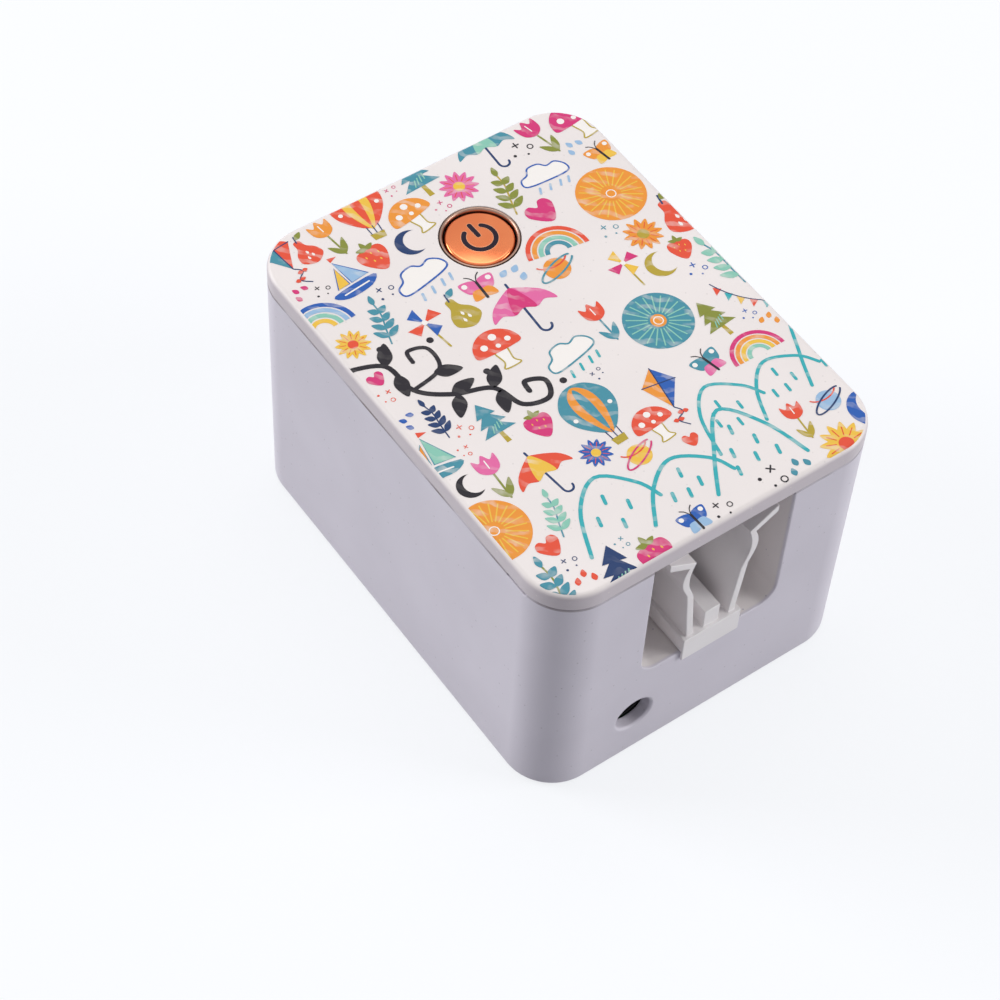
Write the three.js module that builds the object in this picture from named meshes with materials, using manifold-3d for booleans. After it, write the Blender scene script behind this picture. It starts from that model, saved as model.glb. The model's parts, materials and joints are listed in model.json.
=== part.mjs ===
// Toothbrush sterilizer: a small box whose printed lid opens over a chamber for the brush head.
// The brush neck leaves the chamber through a slot in the end face, held there by a spring clip.
// Millimetres. The origin is the middle of the back face, which rests on a wall or a table.
// +Z runs out through the lid, +X across the width, and +Y towards the hinged end.
import * as THREE from 'three';
import { mergeVertices } from 'three/addons/utils/BufferGeometryUtils.js';
import Module from 'manifold-3d';

const wasm = await Module();
wasm.setup();

// Steps in each quarter of a rounded outline and in each full turn of a round piece
const cornerSteps = 5;
const arcSteps = 3;
const edgeSteps = 3;
const smallEdgeSteps = 2;
const roundSteps = 36;
const smallRoundSteps = 16;
const wireSides = 6;
const wireSteps = 20;

// Driving sizes of the box
const boxWidth = 55;
const boxLength = 73;
const boxHeight = 45.8;
const cornerRadius = 7.5;
const outerWall = 2;
const seamGap = 0.15;
const fitGap = 0.25;
const cutOver = 1;

// Housing: deck, edges and corner posts
const deckThickness = 2.6;
const housingEdge = 0.3;
const postRadius = 3.2;
const postRoom = 0.313;
const thumbNotchLength = 4;
const thumbNotchDepth = 0.7;
const thumbNotchHeight = 0.3;
const thumbNotchFromEnd = 6.5;

// Brush chamber and neck slot
const pocketWall = 1.6;
const chamberFromSide = 10;
const chamberRadius = 4;
const chamberFloorRadius = 1.5;
const slotWidth = 23.2;
const slotStep = 3;
const slotLength = 12.3;
const slotRadius = 3;
const slotMouthRadius = 0.8;

// Spring clip
const clipBaseWidth = 9.8;
const clipBaseHeight = 3;
const clipArmThickness = 1.15;
const clipFootGap = 6;
const clipKinkGap = 8;
const clipKinkDrop = 2.5;
const clipPocketGap = 9.8;
const clipPocketDrop = 5.1;
const clipPocketBulge = 0.7;
const clipThroatGap = 8.8;
const clipThroatDrop = 3;
const clipLipSpan = 18;
const clipLipDrop = 0.65;
const clipLipThickness = 1.35;
const clipRibWidth = 2.6;
const clipRibHeight = 3.4;
const clipApronDrop = 1.4;
const clipApronThickness = 0.4;
const clipPegRadius = 1.4;
const clipPegFromEnd = 3.95;
const clipPegBarb = 0.35;
const clipPegTip = 1.1;

// Lid: cover, liner and magnets
const lidEdgeRadius = 0.9;
const lidRim = 2.4;
const lidTopThickness = 1.3;
const linerThickness = 1.5;
const linerGap = 0.2;
const magnetRadius = 3;
const lidMagnetThickness = 1.2;
const deckMagnetThickness = 1.9;
const deckMagnetSink = 0.2;
const magnetSeatWall = 1.2;
const magnetPocketPlay = 0.2;
const linerFloor = 0.35;
const sensorMagnetRadius = 1.5;
const sensorMagnetSink = 0.05;

// Hinge
const knuckleCount = 5;
const knuckleRadius = 1.5;
const knuckleGap = 0.3;
const pinRadius = 0.6;
const pinPlay = 0.12;

// Button
const buttonX = 1;
const buttonFromEnd = 15.5;
const buttonRadius = 5;
const buttonTravel = 0.5;
const buttonSink = 0.1;
const buttonCrown = 0.12;
const buttonEdge = 0.7;
const bezelRoom = 0.3;
const bezelWall = 0.35;
const bezelFlange = 0.95;
const bezelFlangeThickness = 0.6;
const bezelEdge = 0.12;
const stemRadius = 1.9;
const stemGrooveRadius = 1.45;
const retainerRadius = 2.9;
const retainerThickness = 0.6;
const stemFoot = 0.8;
const stemPlay = 0.05;
const footChamfer = 0.2;

// Switch compartment: plate, board, tactile switch and lid sensor
const plateGapToChamber = 2.7;
const plateFromButton = 4.7;
const plateFromEnd = 3.1;
const plateThickness = 1.4;
const plateLedge = 1.5;
const plateRadius = 2.5;
const hookWidth = 4;
const hookThickness = 1;
const hookCatch = 0.6;
const hookHeight = 1.2;
const hookFromSide = 6;
const bossRadius = 2.2;
const bossFromSide = 5.5;
const boardThickness = 1.2;
const controlBoardMargin = 0.6;
const switchWidth = 6.2;
const switchHeight = 3.3;
const switchCorner = 0.5;
const plungerRadius = 1.75;
const plungerStand = 1.1;
const plungerSeat = 1.1;
const sensorWidth = 4;
const sensorLength = 2.8;
const sensorHeight = 1.6;
const sensorFromButton = 8.8;

// Ultraviolet lamp behind the chamber wall
const lampDrop = 11.65;
const windowLength = 16;
const windowHeight = 9;
const windowThickness = 1;
const windowLip = 1;
const lampBoardLength = 26;
const lampBoardHeight = 11;
const lampBoardThickness = 1;
const lampPostRadius = 1.5;
const lampPostPitch = 22;
const emitterWidth = 3.5;
const emitterThickness = 0.9;
const emitterLens = 1.2;
const emitterPitch = 7.2;

// Charging socket and its board
const portFromSide = 15.8;
const portDiameter = 5.9;
const portChamfer = 0.3;
const jackWidth = 7;
const jackHeight = 6.6;
const jackLength = 10;
const jackBore = 5.8;
const jackBackWall = 1.5;
const jackPinRadius = 1;
const jackPinSink = 1.5;
const jackPinTail = 0.35;
const cheekThickness = 1.2;
const cheekLength = 4.5;
const chargeBoardThickness = 1;
const chargeBoardLength = 10.4;
const chargeBoardLeft = 5.6;
const chargeBoardShare = 0.56;
const chargeBoardLift = 0.3;
const chargeBossInset = 3;
const chargeBossFromEnd = 7.6;

// Back: cover, wall pad, battery and its foam
const coverSink = 1.2;
const coverThickness = 2;
const padThickness = 1;
const padFromSide = 8.5;
const padFromEnd = 9.5;
const padRadius = 5;
const batterySideRoom = 0.5;
const batteryEndRoom = 1.65;
const batteryThickness = 8;
const batteryEdge = 1.2;
const foamThickness = 2.1;
const foamFromSide = 5;
const foamFromEnd = 4;
const cradleThickness = 1.2;
const cradleHeight = 3.5;
const cradleReach = 6;
const cradleRoom = 0.35;

// Screws: head radius, head height, shank radius, shank length
const coverScrew = { headRadius: 2.5, headHeight: 1.2, shankRadius: 1.2, shankLength: 9 };
const boardScrew = { headRadius: 1.6, headHeight: 0.7, shankRadius: 0.8, shankLength: 4.6 };
const lampScrew = { headRadius: 1.3, headHeight: 0.6, shankRadius: 0.65, shankLength: 3 };
const screwPlay = 0.15;
const recessShare = 0.55;

// Wires
const wireRadius = 0.45;
const wirePitch = 1.8;
const wireEndGap = 0.3;

// Heights and places worked out from the sizes above: box, deck and lid
const lidThickness = lidTopThickness + linerGap + linerThickness;
const lidBottom = boxHeight - lidThickness;
const deckTop = lidBottom - seamGap;
const deckUnderside = deckTop - deckThickness;
const nearEnd = -boxLength / 2;
const farEnd = boxLength / 2;
const hollowRadius = cornerRadius - outerWall;
const postInset = cornerRadius - (hollowRadius - coverScrew.headRadius - postRoom) * Math.SQRT1_2;
const postX = boxWidth / 2 - postInset;
const postY = boxLength / 2 - postInset;
const corners = [[-postX, -postY], [postX, -postY], [postX, postY], [-postX, postY]];
const nearCorners = corners.slice(0, 2);
const hingeSpan = boxWidth - 2 * cornerRadius;
const hingeY = farEnd;
const hingeZ = (deckTop + lidBottom) / 2;
const linerTop = lidBottom + linerThickness;
const sensorMagnetThickness = linerThickness - linerFloor - seamGap - sensorMagnetSink;
const lidRecessTop = boxHeight - lidTopThickness;

// From the back up: cover, battery, its foam, the chamber's floor and the slot's
const coverTop = coverSink + coverThickness;
const batteryBottom = coverTop + fitGap;
const batteryTop = batteryBottom + batteryThickness;
const foamBottom = batteryTop + fitGap;
const foamTop = foamBottom + foamThickness;
const chamberUnderside = foamTop + fitGap;
const chamberFloor = chamberUnderside + pocketWall;
const slotFloor = chamberFloor + slotStep;
const slotUnderside = slotFloor - pocketWall;

// From the far end: button, switch plate and the chamber's far wall
const buttonY = farEnd - buttonFromEnd;
const bezelBore = buttonRadius + bezelRoom;
const bezelRadius = bezelBore + bezelWall;
const plateNear = buttonY - plateFromButton;
const plateLength = farEnd - plateFromEnd - plateNear;
const plateMiddle = plateNear + plateLength / 2;
const plateUnderside = deckTop - plateThickness;
const chamberWidth = boxWidth - 2 * chamberFromSide;
const chamberNear = nearEnd + slotLength;
const chamberFar = plateNear - plateGapToChamber;
const chamberLength = chamberFar - chamberNear;
const chamberMiddle = (chamberNear + chamberFar) / 2;
const plateWidth = chamberWidth;
const openingWidth = plateWidth - 2 * plateLedge;
const openingLength = plateLength - 2 * plateLedge;
const bossPitch = openingWidth - 2 * bossFromSide;
const hookPitch = openingWidth - 2 * hookFromSide;

// From the plate down: retainer, stem, switch and control board
const retainerTop = plateUnderside - seamGap;
const retainerBottom = retainerTop - retainerThickness;
const stemBottom = retainerBottom - stemFoot;
const plungerTop = stemBottom - stemPlay;
const switchTop = plungerTop - plungerStand;
const switchBottom = switchTop - switchHeight;
const boardTop = switchBottom - fitGap;
const boardBottom = boardTop - boardThickness;
const sensorY = buttonY + sensorFromButton;

// Clip's heights, down from its lips under the lid
const clipLipHeight = deckTop - clipLipDrop;
const clipThroatHeight = clipLipHeight - clipThroatDrop;
const clipPocketHeight = clipThroatHeight - clipPocketDrop;
const clipKinkHeight = clipPocketHeight - clipKinkDrop;

// Lamp behind the chamber's left wall
const lampHeight = deckTop - lampDrop;
const pocketOuterX = -chamberWidth / 2 - pocketWall;
const emitterFront = pocketOuterX - fitGap;
const lampBoardFront = emitterFront - emitterThickness - fitGap;
const lampBoardBack = lampBoardFront - lampBoardThickness;

// Charging socket, its board and the battery beyond it
const chargeBoardBottom = coverTop + chargeBoardLift + boardScrew.headHeight + seamGap;
const chargeBoardTop = chargeBoardBottom + chargeBoardThickness;
const jackBottom = chargeBoardTop + fitGap;
const portHeight = jackBottom + jackHeight / 2;
const portX = portFromSide - boxWidth / 2;
const jackNear = nearEnd + outerWall + fitGap;
const jackFar = jackNear + jackLength;
const chargeBoardEdge = portX - chargeBoardLeft + chargeBoardShare * boxWidth;
const chargeBossY = nearEnd + chargeBossFromEnd;
const chargeBossX = [
  clipPegRadius + clipPegBarb + 2 * fitGap + bossRadius, chargeBoardEdge - chargeBossInset];
const batteryNear = jackNear + chargeBoardLength + cradleRoom + cradleThickness + fitGap;
const batteryFar = chamberFar - batteryEndRoom;
const batteryLength = batteryFar - batteryNear;
const batteryWidth = chamberWidth - 2 * batterySideRoom;
const batteryMiddle = (batteryNear + batteryFar) / 2;

// Colours and finishes
const finishes = {
  whiteShell: { color: 0xdddbe2, roughness: 0.5, metalness: 0 },
  creamLid: { color: 0xf0e8e4, roughness: 0.45, metalness: 0 },
  whiteLiner: { color: 0xe4e1e6, roughness: 0.55, metalness: 0 },
  clipPlastic: { color: 0xe6e2de, roughness: 0.4, metalness: 0 },
  copperChrome: { color: 0xd97b4e, roughness: 0.12, metalness: 1 },
  bronzeChrome: { color: 0x8a6a5a, roughness: 0.2, metalness: 1 },
  steel: { color: 0xb9bcc0, roughness: 0.35, metalness: 1 },
  nickel: { color: 0xc8c9cc, roughness: 0.25, metalness: 1 },
  blackPlastic: { color: 0x232326, roughness: 0.5, metalness: 0 },
  greenBoard: { color: 0x2e6b45, roughness: 0.5, metalness: 0 },
  silverFoil: { color: 0xc4c6cb, roughness: 0.4, metalness: 0.7 },
  greyFoam: { color: 0x6c6e73, roughness: 0.9, metalness: 0 },
  whitePad: { color: 0xe9e9ea, roughness: 0.85, metalness: 0 },
  clearQuartz: { color: 0xdcecf4, roughness: 0.05, metalness: 0 },
  ceramic: { color: 0xf2ead6, roughness: 0.4, metalness: 0 },
  redWire: { color: 0xb02a24, roughness: 0.5, metalness: 0 },
  blueWire: { color: 0x2b5ca8, roughness: 0.5, metalness: 0 },
  yellowWire: { color: 0xd9b23a, roughness: 0.5, metalness: 0 },
};

const sterilizer = new THREE.Group();

// Turns a closed geometry into a solid that can be joined to others and cut.
function solid(geometry) {
  geometry.deleteAttribute('normal');
  geometry.deleteAttribute('uv');
  const merged = mergeVertices(geometry);
  const index = merged.index.array;
  const triangles = [];
  for (let i = 0; i < index.length; i += 3) {
    const [a, b, c] = [index[i], index[i + 1], index[i + 2]];
    if (a !== b && b !== c && c !== a) {
      triangles.push(a, b, c);
    }
  }
  return new wasm.Manifold(new wasm.Mesh({
    numProp: 3,
    vertProperties: new Float32Array(merged.attributes.position.array),
    triVerts: new Uint32Array(triangles),
  }));
}

function joined(solids) {
  return solids.reduce((whole, next) => whole.add(next));
}

function cutBy(whole, cutters) {
  return cutters.reduce((left, cutter) => left.subtract(cutter), whole);
}

// Adds one named piece to the sterilizer.
function addPiece(name, body, finish) {
  const mesh = body.getMesh();
  const geometry = new THREE.BufferGeometry();
  geometry.setAttribute('position', new THREE.BufferAttribute(new Float32Array(mesh.vertProperties), 3));
  geometry.setIndex(Array.from(mesh.triVerts));
  geometry.computeVertexNormals();
  const piece = new THREE.Mesh(geometry, new THREE.MeshStandardMaterial(finish));
  piece.name = name;
  sterilizer.add(piece);
}

// Adds alike pieces, each with its number after the name.
function addCopies(name, bodies, finish) {
  bodies.forEach((body, i) => addPiece(`${name}_${i + 1}`, body, finish));
}

// A rectangle about a middle point, with rounded corners where a radius is given
function rectangle(width, length, radius = 0, middleX = 0, middleY = 0) {
  const [left, right] = [middleX - width / 2, middleX + width / 2];
  const [low, high] = [middleY - length / 2, middleY + length / 2];
  const shape = new THREE.Shape();
  if (radius === 0) {
    shape.moveTo(left, low);
    shape.lineTo(right, low);
    shape.lineTo(right, high);
    shape.lineTo(left, high);
    shape.closePath();
    return shape;
  }
  shape.moveTo(left + radius, low);
  shape.lineTo(right - radius, low);
  shape.absarc(right - radius, low + radius, radius, -Math.PI / 2, 0);
  shape.lineTo(right, high - radius);
  shape.absarc(right - radius, high - radius, radius, 0, Math.PI / 2);
  shape.lineTo(left + radius, high);
  shape.absarc(left + radius, high - radius, radius, Math.PI / 2, Math.PI);
  shape.lineTo(left, low + radius);
  shape.absarc(left + radius, low + radius, radius, Math.PI, 1.5 * Math.PI);
  return shape;
}

// An outline in X and Y, carried up from one height to another
function upright(shape, low, high, steps = arcSteps) {
  const options = { depth: high - low, bevelEnabled: false, curveSegments: steps };
  const geometry = new THREE.ExtrudeGeometry(shape, options);
  geometry.translate(0, 0, low);
  return solid(geometry);
}

// The same with both of its end edges rounded
function uprightRounded(shape, low, high, edge, steps = arcSteps, segments = edgeSteps) {
  const options = {
    depth: high - low - 2 * edge,
    bevelThickness: edge,
    bevelSize: edge,
    bevelOffset: -edge,
    bevelSegments: segments,
    curveSegments: steps,
  };
  const geometry = new THREE.ExtrudeGeometry(shape, options);
  geometry.translate(0, 0, low + edge);
  return solid(geometry);
}

// An outline in X and Z, carried along Y
function lengthwise(shape, near, far, steps = arcSteps) {
  const options = { depth: far - near, bevelEnabled: false, curveSegments: steps };
  const geometry = new THREE.ExtrudeGeometry(shape, options);
  geometry.rotateX(Math.PI / 2);
  geometry.translate(0, far, 0);
  return solid(geometry);
}

// An outline in Y and Z, carried along X
function crosswise(shape, left, right, steps = arcSteps) {
  const options = { depth: right - left, bevelEnabled: false, curveSegments: steps };
  const geometry = new THREE.ExtrudeGeometry(shape, options);
  geometry.applyMatrix4(new THREE.Matrix4().set(0, 0, 1, 0, 1, 0, 0, 0, 0, 1, 0, 0, 0, 0, 0, 1));
  geometry.translate(left, 0, 0);
  return solid(geometry);
}

// A block between two corners
function block(low, high) {
  const size = high.map((value, i) => value - low[i]);
  const geometry = new THREE.BoxGeometry(...size);
  geometry.translate(...low.map((value, i) => value + size[i] / 2));
  return solid(geometry);
}

// A profile of radius and height turned about an upright axis
function turned(profile, x = 0, y = 0, steps = smallRoundSteps) {
  const geometry = new THREE.LatheGeometry(profile.map(([r, h]) => new THREE.Vector2(r, h)), steps);
  geometry.rotateX(Math.PI / 2);
  geometry.translate(x, y, 0);
  return solid(geometry);
}

function disc(radius, low, high, x = 0, y = 0, steps = smallRoundSteps) {
  return turned([[0, low], [radius, low], [radius, high], [0, high]], x, y, steps);
}

// A round bar along X
function barAlongX(radius, left, right, y, z, steps = smallRoundSteps) {
  const geometry = new THREE.CylinderGeometry(radius, radius, right - left, steps);
  geometry.rotateZ(-Math.PI / 2);
  geometry.translate((left + right) / 2, y, z);
  return solid(geometry);
}

// A round bar along Y
function barAlongY(radius, near, far, x, z, steps = smallRoundSteps) {
  const geometry = new THREE.CylinderGeometry(radius, radius, far - near, steps);
  geometry.translate(x, (near + far) / 2, z);
  return solid(geometry);
}

// Each knuckle's ends along X; even ones belong to the housing and odd ones to the lid.
function knuckles(parity, growth = 0) {
  const pitch = hingeSpan / knuckleCount;
  const spans = [];
  for (let i = parity; i < knuckleCount; i += 2) {
    const left = -hingeSpan / 2 + i * pitch;
    spans.push([left + knuckleGap / 2 - growth, left + pitch - knuckleGap / 2 + growth]);
  }
  return spans;
}

function knuckleBars(parity, radius, growth = 0) {
  return knuckles(parity, growth).map(([left, right]) => barAlongX(radius, left, right, hingeY, hingeZ));
}

function hingeBore() {
  return barAlongX(pinRadius + pinPlay, -hingeSpan / 2 - cutOver, hingeSpan / 2 + cutOver, hingeY, hingeZ);
}

// Chamber pocket: its inside, or its outside when grown by the wall
function chamberPocket(growth, top) {
  const width = chamberWidth + 2 * growth;
  const length = chamberLength + 2 * growth;
  const outline = rectangle(width, length, chamberRadius + growth, 0, chamberMiddle);
  const floorEdge = chamberFloorRadius + growth;
  const floor = chamberFloor - growth;
  const tub = uprightRounded(outline, floor, top + floorEdge, floorEdge);
  return tub.intersect(upright(outline, floor, top));
}

// Neck slot: a channel along Y with rounded lower corners
function slotChannel(growth, near, far, top) {
  const half = slotWidth / 2 + growth;
  const radius = slotRadius + growth;
  const floor = slotFloor - growth;
  const outline = new THREE.Shape();
  outline.moveTo(half, top);
  outline.lineTo(-half, top);
  outline.lineTo(-half, floor + radius);
  outline.absarc(-half + radius, floor + radius, radius, Math.PI, 1.5 * Math.PI);
  outline.lineTo(half - radius, floor);
  outline.absarc(half - radius, floor + radius, radius, 1.5 * Math.PI, 2 * Math.PI);
  outline.closePath();
  return lengthwise(outline, near, far);
}

// Sliver that rounds the deck corner where the chamber meets the slot, on one side
function slotMouthTrim(side) {
  const x = side * slotWidth / 2;
  const radius = slotMouthRadius;
  const outline = new THREE.Shape();
  outline.moveTo(x, chamberNear);
  outline.lineTo(x, chamberNear - radius);
  const [from, to] = side < 0 ? [0, Math.PI / 2] : [Math.PI, Math.PI / 2];
  outline.absarc(x + side * radius, chamberNear - radius, radius, from, to, side > 0);
  outline.closePath();
  return upright(outline, slotFloor, deckTop + cutOver);
}

// Sockets in the housing for the clip's pegs, along the middle of the slot floor
function clipPegPlaces() {
  const middle = (nearEnd + outerWall + chamberNear - pocketWall) / 2;
  const reach = slotLength / 2 - clipPegFromEnd;
  return [middle - reach, middle + reach];
}

function cornerPosts() {
  const posts = corners.map(([x, y]) => disc(postRadius, coverTop + fitGap, deckTop, x, y));
  const seatBottom = deckTop - deckMagnetSink - deckMagnetThickness - fitGap - magnetSeatWall;
  const seatRadius = magnetRadius + magnetPocketPlay + magnetSeatWall;
  const seats = nearCorners.map(([x, y]) => disc(seatRadius, seatBottom, deckTop, x, y));
  return [...posts, ...seats];
}

function cornerPostHoles() {
  const pilotTop = coverSink + coverScrew.headHeight + coverScrew.shankLength + fitGap;
  const pilotRadius = coverScrew.shankRadius + screwPlay;
  const pilots = corners.map(([x, y]) => disc(pilotRadius, 0, pilotTop, x, y));
  const pocketRadius = magnetRadius + magnetPocketPlay;
  const pocketBottom = deckTop - deckMagnetSink - deckMagnetThickness - fitGap;
  const pockets = nearCorners.map(([x, y]) => disc(pocketRadius, pocketBottom, deckTop + cutOver, x, y));
  return [...pilots, ...pockets];
}

function chargeBosses() {
  return chargeBossX.map((x) => disc(bossRadius, chargeBoardTop + fitGap, slotFloor, x, chargeBossY));
}

function chargeBossPilots() {
  const top = chargeBoardBottom + boardScrew.shankLength + fitGap;
  const radius = boardScrew.shankRadius + screwPlay;
  return chargeBossX.map((x) => disc(radius, chargeBoardBottom, top, x, chargeBossY));
}

// Two cheeks inside the end wall that hold the charging socket between them
function jackCheeks() {
  const offset = jackWidth / 2 + fitGap;
  return [-1, 1].map((side) => {
    const inner = portX + side * offset;
    const outer = inner + side * cheekThickness;
    const low = [Math.min(inner, outer), nearEnd, jackBottom];
    const high = [Math.max(inner, outer), nearEnd + outerWall + cheekLength, jackBottom + jackHeight];
    return block(low, high);
  });
}

// Round port in the end wall, with a small chamfer at its mouth
function portHole() {
  const radius = portDiameter / 2;
  const profile = [
    [0, -cutOver],
    [radius + portChamfer + cutOver, -cutOver],
    [radius, portChamfer],
    [radius, outerWall + cutOver],
    [0, outerWall + cutOver],
  ];
  const geometry = new THREE.LatheGeometry(profile.map(([r, h]) => new THREE.Vector2(r, h)), roundSteps);
  geometry.translate(portX, nearEnd, portHeight);
  return solid(geometry);
}

function lampPlaces(pitch) {
  return [chamberMiddle - pitch / 2, chamberMiddle + pitch / 2];
}

function lampPosts() {
  const reach = lampBoardFront + fitGap;
  return lampPlaces(lampPostPitch).map((y) => (
    barAlongX(lampPostRadius, reach, -chamberWidth / 2 - pocketWall / 2, y, lampHeight)));
}

// Window hole in the chamber wall, its rebate from behind and the lamp screws' pilots
function lampCuts() {
  const opening = rectangle(windowLength - 2 * windowLip, windowHeight - 2 * windowLip, windowLip,
    chamberMiddle, lampHeight);
  const rebate = rectangle(windowLength + 2 * fitGap, windowHeight + 2 * fitGap, windowLip,
    chamberMiddle, lampHeight);
  const pilotRadius = lampScrew.shankRadius + screwPlay;
  const pilotEnd = lampBoardBack + lampScrew.shankLength + fitGap;
  return [
    crosswise(opening, pocketOuterX - cutOver, -chamberWidth / 2 + cutOver),
    crosswise(rebate, pocketOuterX - cutOver, pocketOuterX + windowThickness + seamGap),
    ...lampPlaces(lampPostPitch).map((y) => (
      barAlongX(pilotRadius, lampBoardBack, pilotEnd, y, lampHeight))),
  ];
}

// Opening over the switch compartment, with the rebate that its plate lies in
function switchOpening() {
  const opening = rectangle(openingWidth, openingLength, plateRadius - plateLedge / 2, 0, plateMiddle);
  const rebate = rectangle(plateWidth + 2 * seamGap, plateLength + 2 * seamGap, plateRadius, 0, plateMiddle);
  return [
    upright(opening, deckUnderside - cutOver, deckTop + cutOver),
    upright(rebate, plateUnderside - fitGap, deckTop + cutOver),
  ];
}

// Shallow notch under the lid's edge, near one end, for a thumbnail
function thumbNotch() {
  const near = nearEnd + thumbNotchFromEnd;
  const left = -boxWidth / 2;
  return block(
    [left - cutOver, near, deckTop - thumbNotchHeight],
    [left + thumbNotchDepth, near + thumbNotchLength, deckTop + cutOver]);
}

// Housing: one moulding with outer walls, deck, brush chamber, slot, posts and hinge knuckles
function makeHousing() {
  const outline = rectangle(boxWidth, boxLength, cornerRadius);
  const inset = 2 * outerWall;
  const hollowOutline = rectangle(boxWidth - inset, boxLength - inset, cornerRadius - outerWall);
  const shell = uprightRounded(outline, 0, deckTop, housingEdge, cornerSteps, smallEdgeSteps);
  const hollow = cutBy(upright(hollowOutline, -cutOver, deckUnderside, cornerSteps), [
    chamberPocket(pocketWall, deckTop),
    slotChannel(pocketWall, nearEnd - cutOver, chamberNear + pocketWall, deckTop),
    ...cornerPosts(),
    ...chargeBosses(),
    ...jackCheeks(),
    ...lampPosts(),
  ]);
  const pegSockets = clipPegPlaces().map((y) => (
    disc(clipPegRadius + fitGap, slotUnderside - cutOver, slotFloor + cutOver, 0, y)));
  const body = cutBy(joined([shell.subtract(hollow), ...knuckleBars(0, knuckleRadius)]), [
    chamberPocket(0, deckTop + cutOver),
    slotChannel(0, nearEnd - cutOver, chamberNear + chamberFloorRadius + cutOver, deckTop + cutOver),
    slotMouthTrim(-1),
    slotMouthTrim(1),
    ...pegSockets,
    ...cornerPostHoles(),
    ...chargeBossPilots(),
    ...lampCuts(),
    ...switchOpening(),
    ...knuckleBars(1, knuckleRadius + knuckleGap, knuckleGap),
    hingeBore(),
    portHole(),
    thumbNotch(),
  ]);
  addPiece('housing', body, finishes.whiteShell);
}

// Half of the clip's section, on the side given by its sign, from the base up and back down
function clipArm(outline, side) {
  const foot = clipFootGap / 2;
  const kink = clipKinkGap / 2;
  const pocket = clipPocketGap / 2;
  const throat = clipThroatGap / 2;
  const lip = clipLipSpan / 2;
  const thick = clipArmThickness;
  const baseTop = slotFloor + fitGap + clipBaseHeight;
  const bulgeHeight = (clipPocketHeight + clipThroatHeight) / 2;
  const outer = [
    ['line', foot + thick, baseTop],
    ['line', kink + thick, clipKinkHeight + thick / 2],
    ['line', pocket + thick, clipPocketHeight + thick / 4],
    ['curve', pocket + thick + clipPocketBulge, bulgeHeight, throat + thick, clipThroatHeight - thick / 4],
    ['line', lip, clipLipHeight - clipLipThickness],
    ['line', lip, clipLipHeight],
  ];
  const inner = [
    ['line', throat, clipThroatHeight + thick / 4],
    ['curve', pocket + clipPocketBulge, bulgeHeight, pocket, clipPocketHeight],
    ['line', kink, clipKinkHeight],
    ['line', foot, baseTop],
  ];
  const steps = side > 0 ? [...outer, ...inner] : mirroredSteps([...outer, ...inner]);
  for (const [kind, ...values] of steps) {
    if (kind === 'line') {
      outline.lineTo(side * values[0], values[1]);
    } else {
      outline.quadraticCurveTo(side * values[0], values[1], side * values[2], values[3]);
    }
  }
}

// The same steps walked the other way round, for the opposite arm
function mirroredSteps(steps) {
  const ends = steps.map((step) => step.slice(-2));
  const back = [];
  for (let i = steps.length - 1; i > 0; i -= 1) {
    const [kind, ...values] = steps[i];
    const end = ends[i - 1];
    back.push(kind === 'line' ? ['line', ...end] : ['curve', values[0], values[1], ...end]);
  }
  return [['line', ...ends[ends.length - 1]], ...back];
}

// Spring clip: base, two flared arms, a low rib between them, an apron and two pegs
function makeClip() {
  const base = clipBaseWidth / 2;
  const rib = clipRibWidth / 2;
  const baseBottom = slotFloor + fitGap;
  const baseTop = baseBottom + clipBaseHeight;
  const ribTop = baseTop + clipRibHeight;
  const outline = new THREE.Shape();
  outline.moveTo(-base, baseBottom);
  outline.lineTo(base, baseBottom);
  outline.lineTo(base, baseTop);
  clipArm(outline, 1);
  outline.lineTo(rib, baseTop);
  outline.lineTo(rib, ribTop);
  outline.lineTo(-rib, ribTop);
  outline.lineTo(-rib, baseTop);
  clipArm(outline, -1);
  outline.lineTo(-base, baseTop);
  outline.closePath();
  const apronBack = nearEnd - seamGap;
  const apronFront = apronBack - clipApronThickness;
  const apron = block([-base, apronFront, slotFloor - clipApronDrop], [base, apronBack, baseTop]);
  const bridge = block([-base, apronFront, baseBottom], [base, nearEnd + clipApronThickness, baseTop]);
  const pegs = clipPegPlaces().map((y) => turned([
    [0, slotUnderside - fitGap - clipPegTip],
    [clipPegRadius - clipPegBarb, slotUnderside - fitGap - clipPegTip],
    [clipPegRadius + clipPegBarb, slotUnderside - fitGap],
    [clipPegRadius, slotUnderside - fitGap],
    [clipPegRadius, baseBottom + clipBaseHeight / 2],
    [0, baseBottom + clipBaseHeight / 2],
  ], 0, y));
  const springs = lengthwise(outline, nearEnd, chamberNear);
  addPiece('brush_clip', joined([springs, apron, bridge, ...pegs]), finishes.clipPlastic);
}

// Round pads in the lid's near corners, each with a pocket for its magnet
function lidMagnetSeats(growth = 0) {
  const radius = magnetRadius + magnetPocketPlay + magnetSeatWall + growth;
  return nearCorners.map(([x, y]) => disc(radius, lidBottom - cutOver, lidRecessTop, x, y));
}

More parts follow.
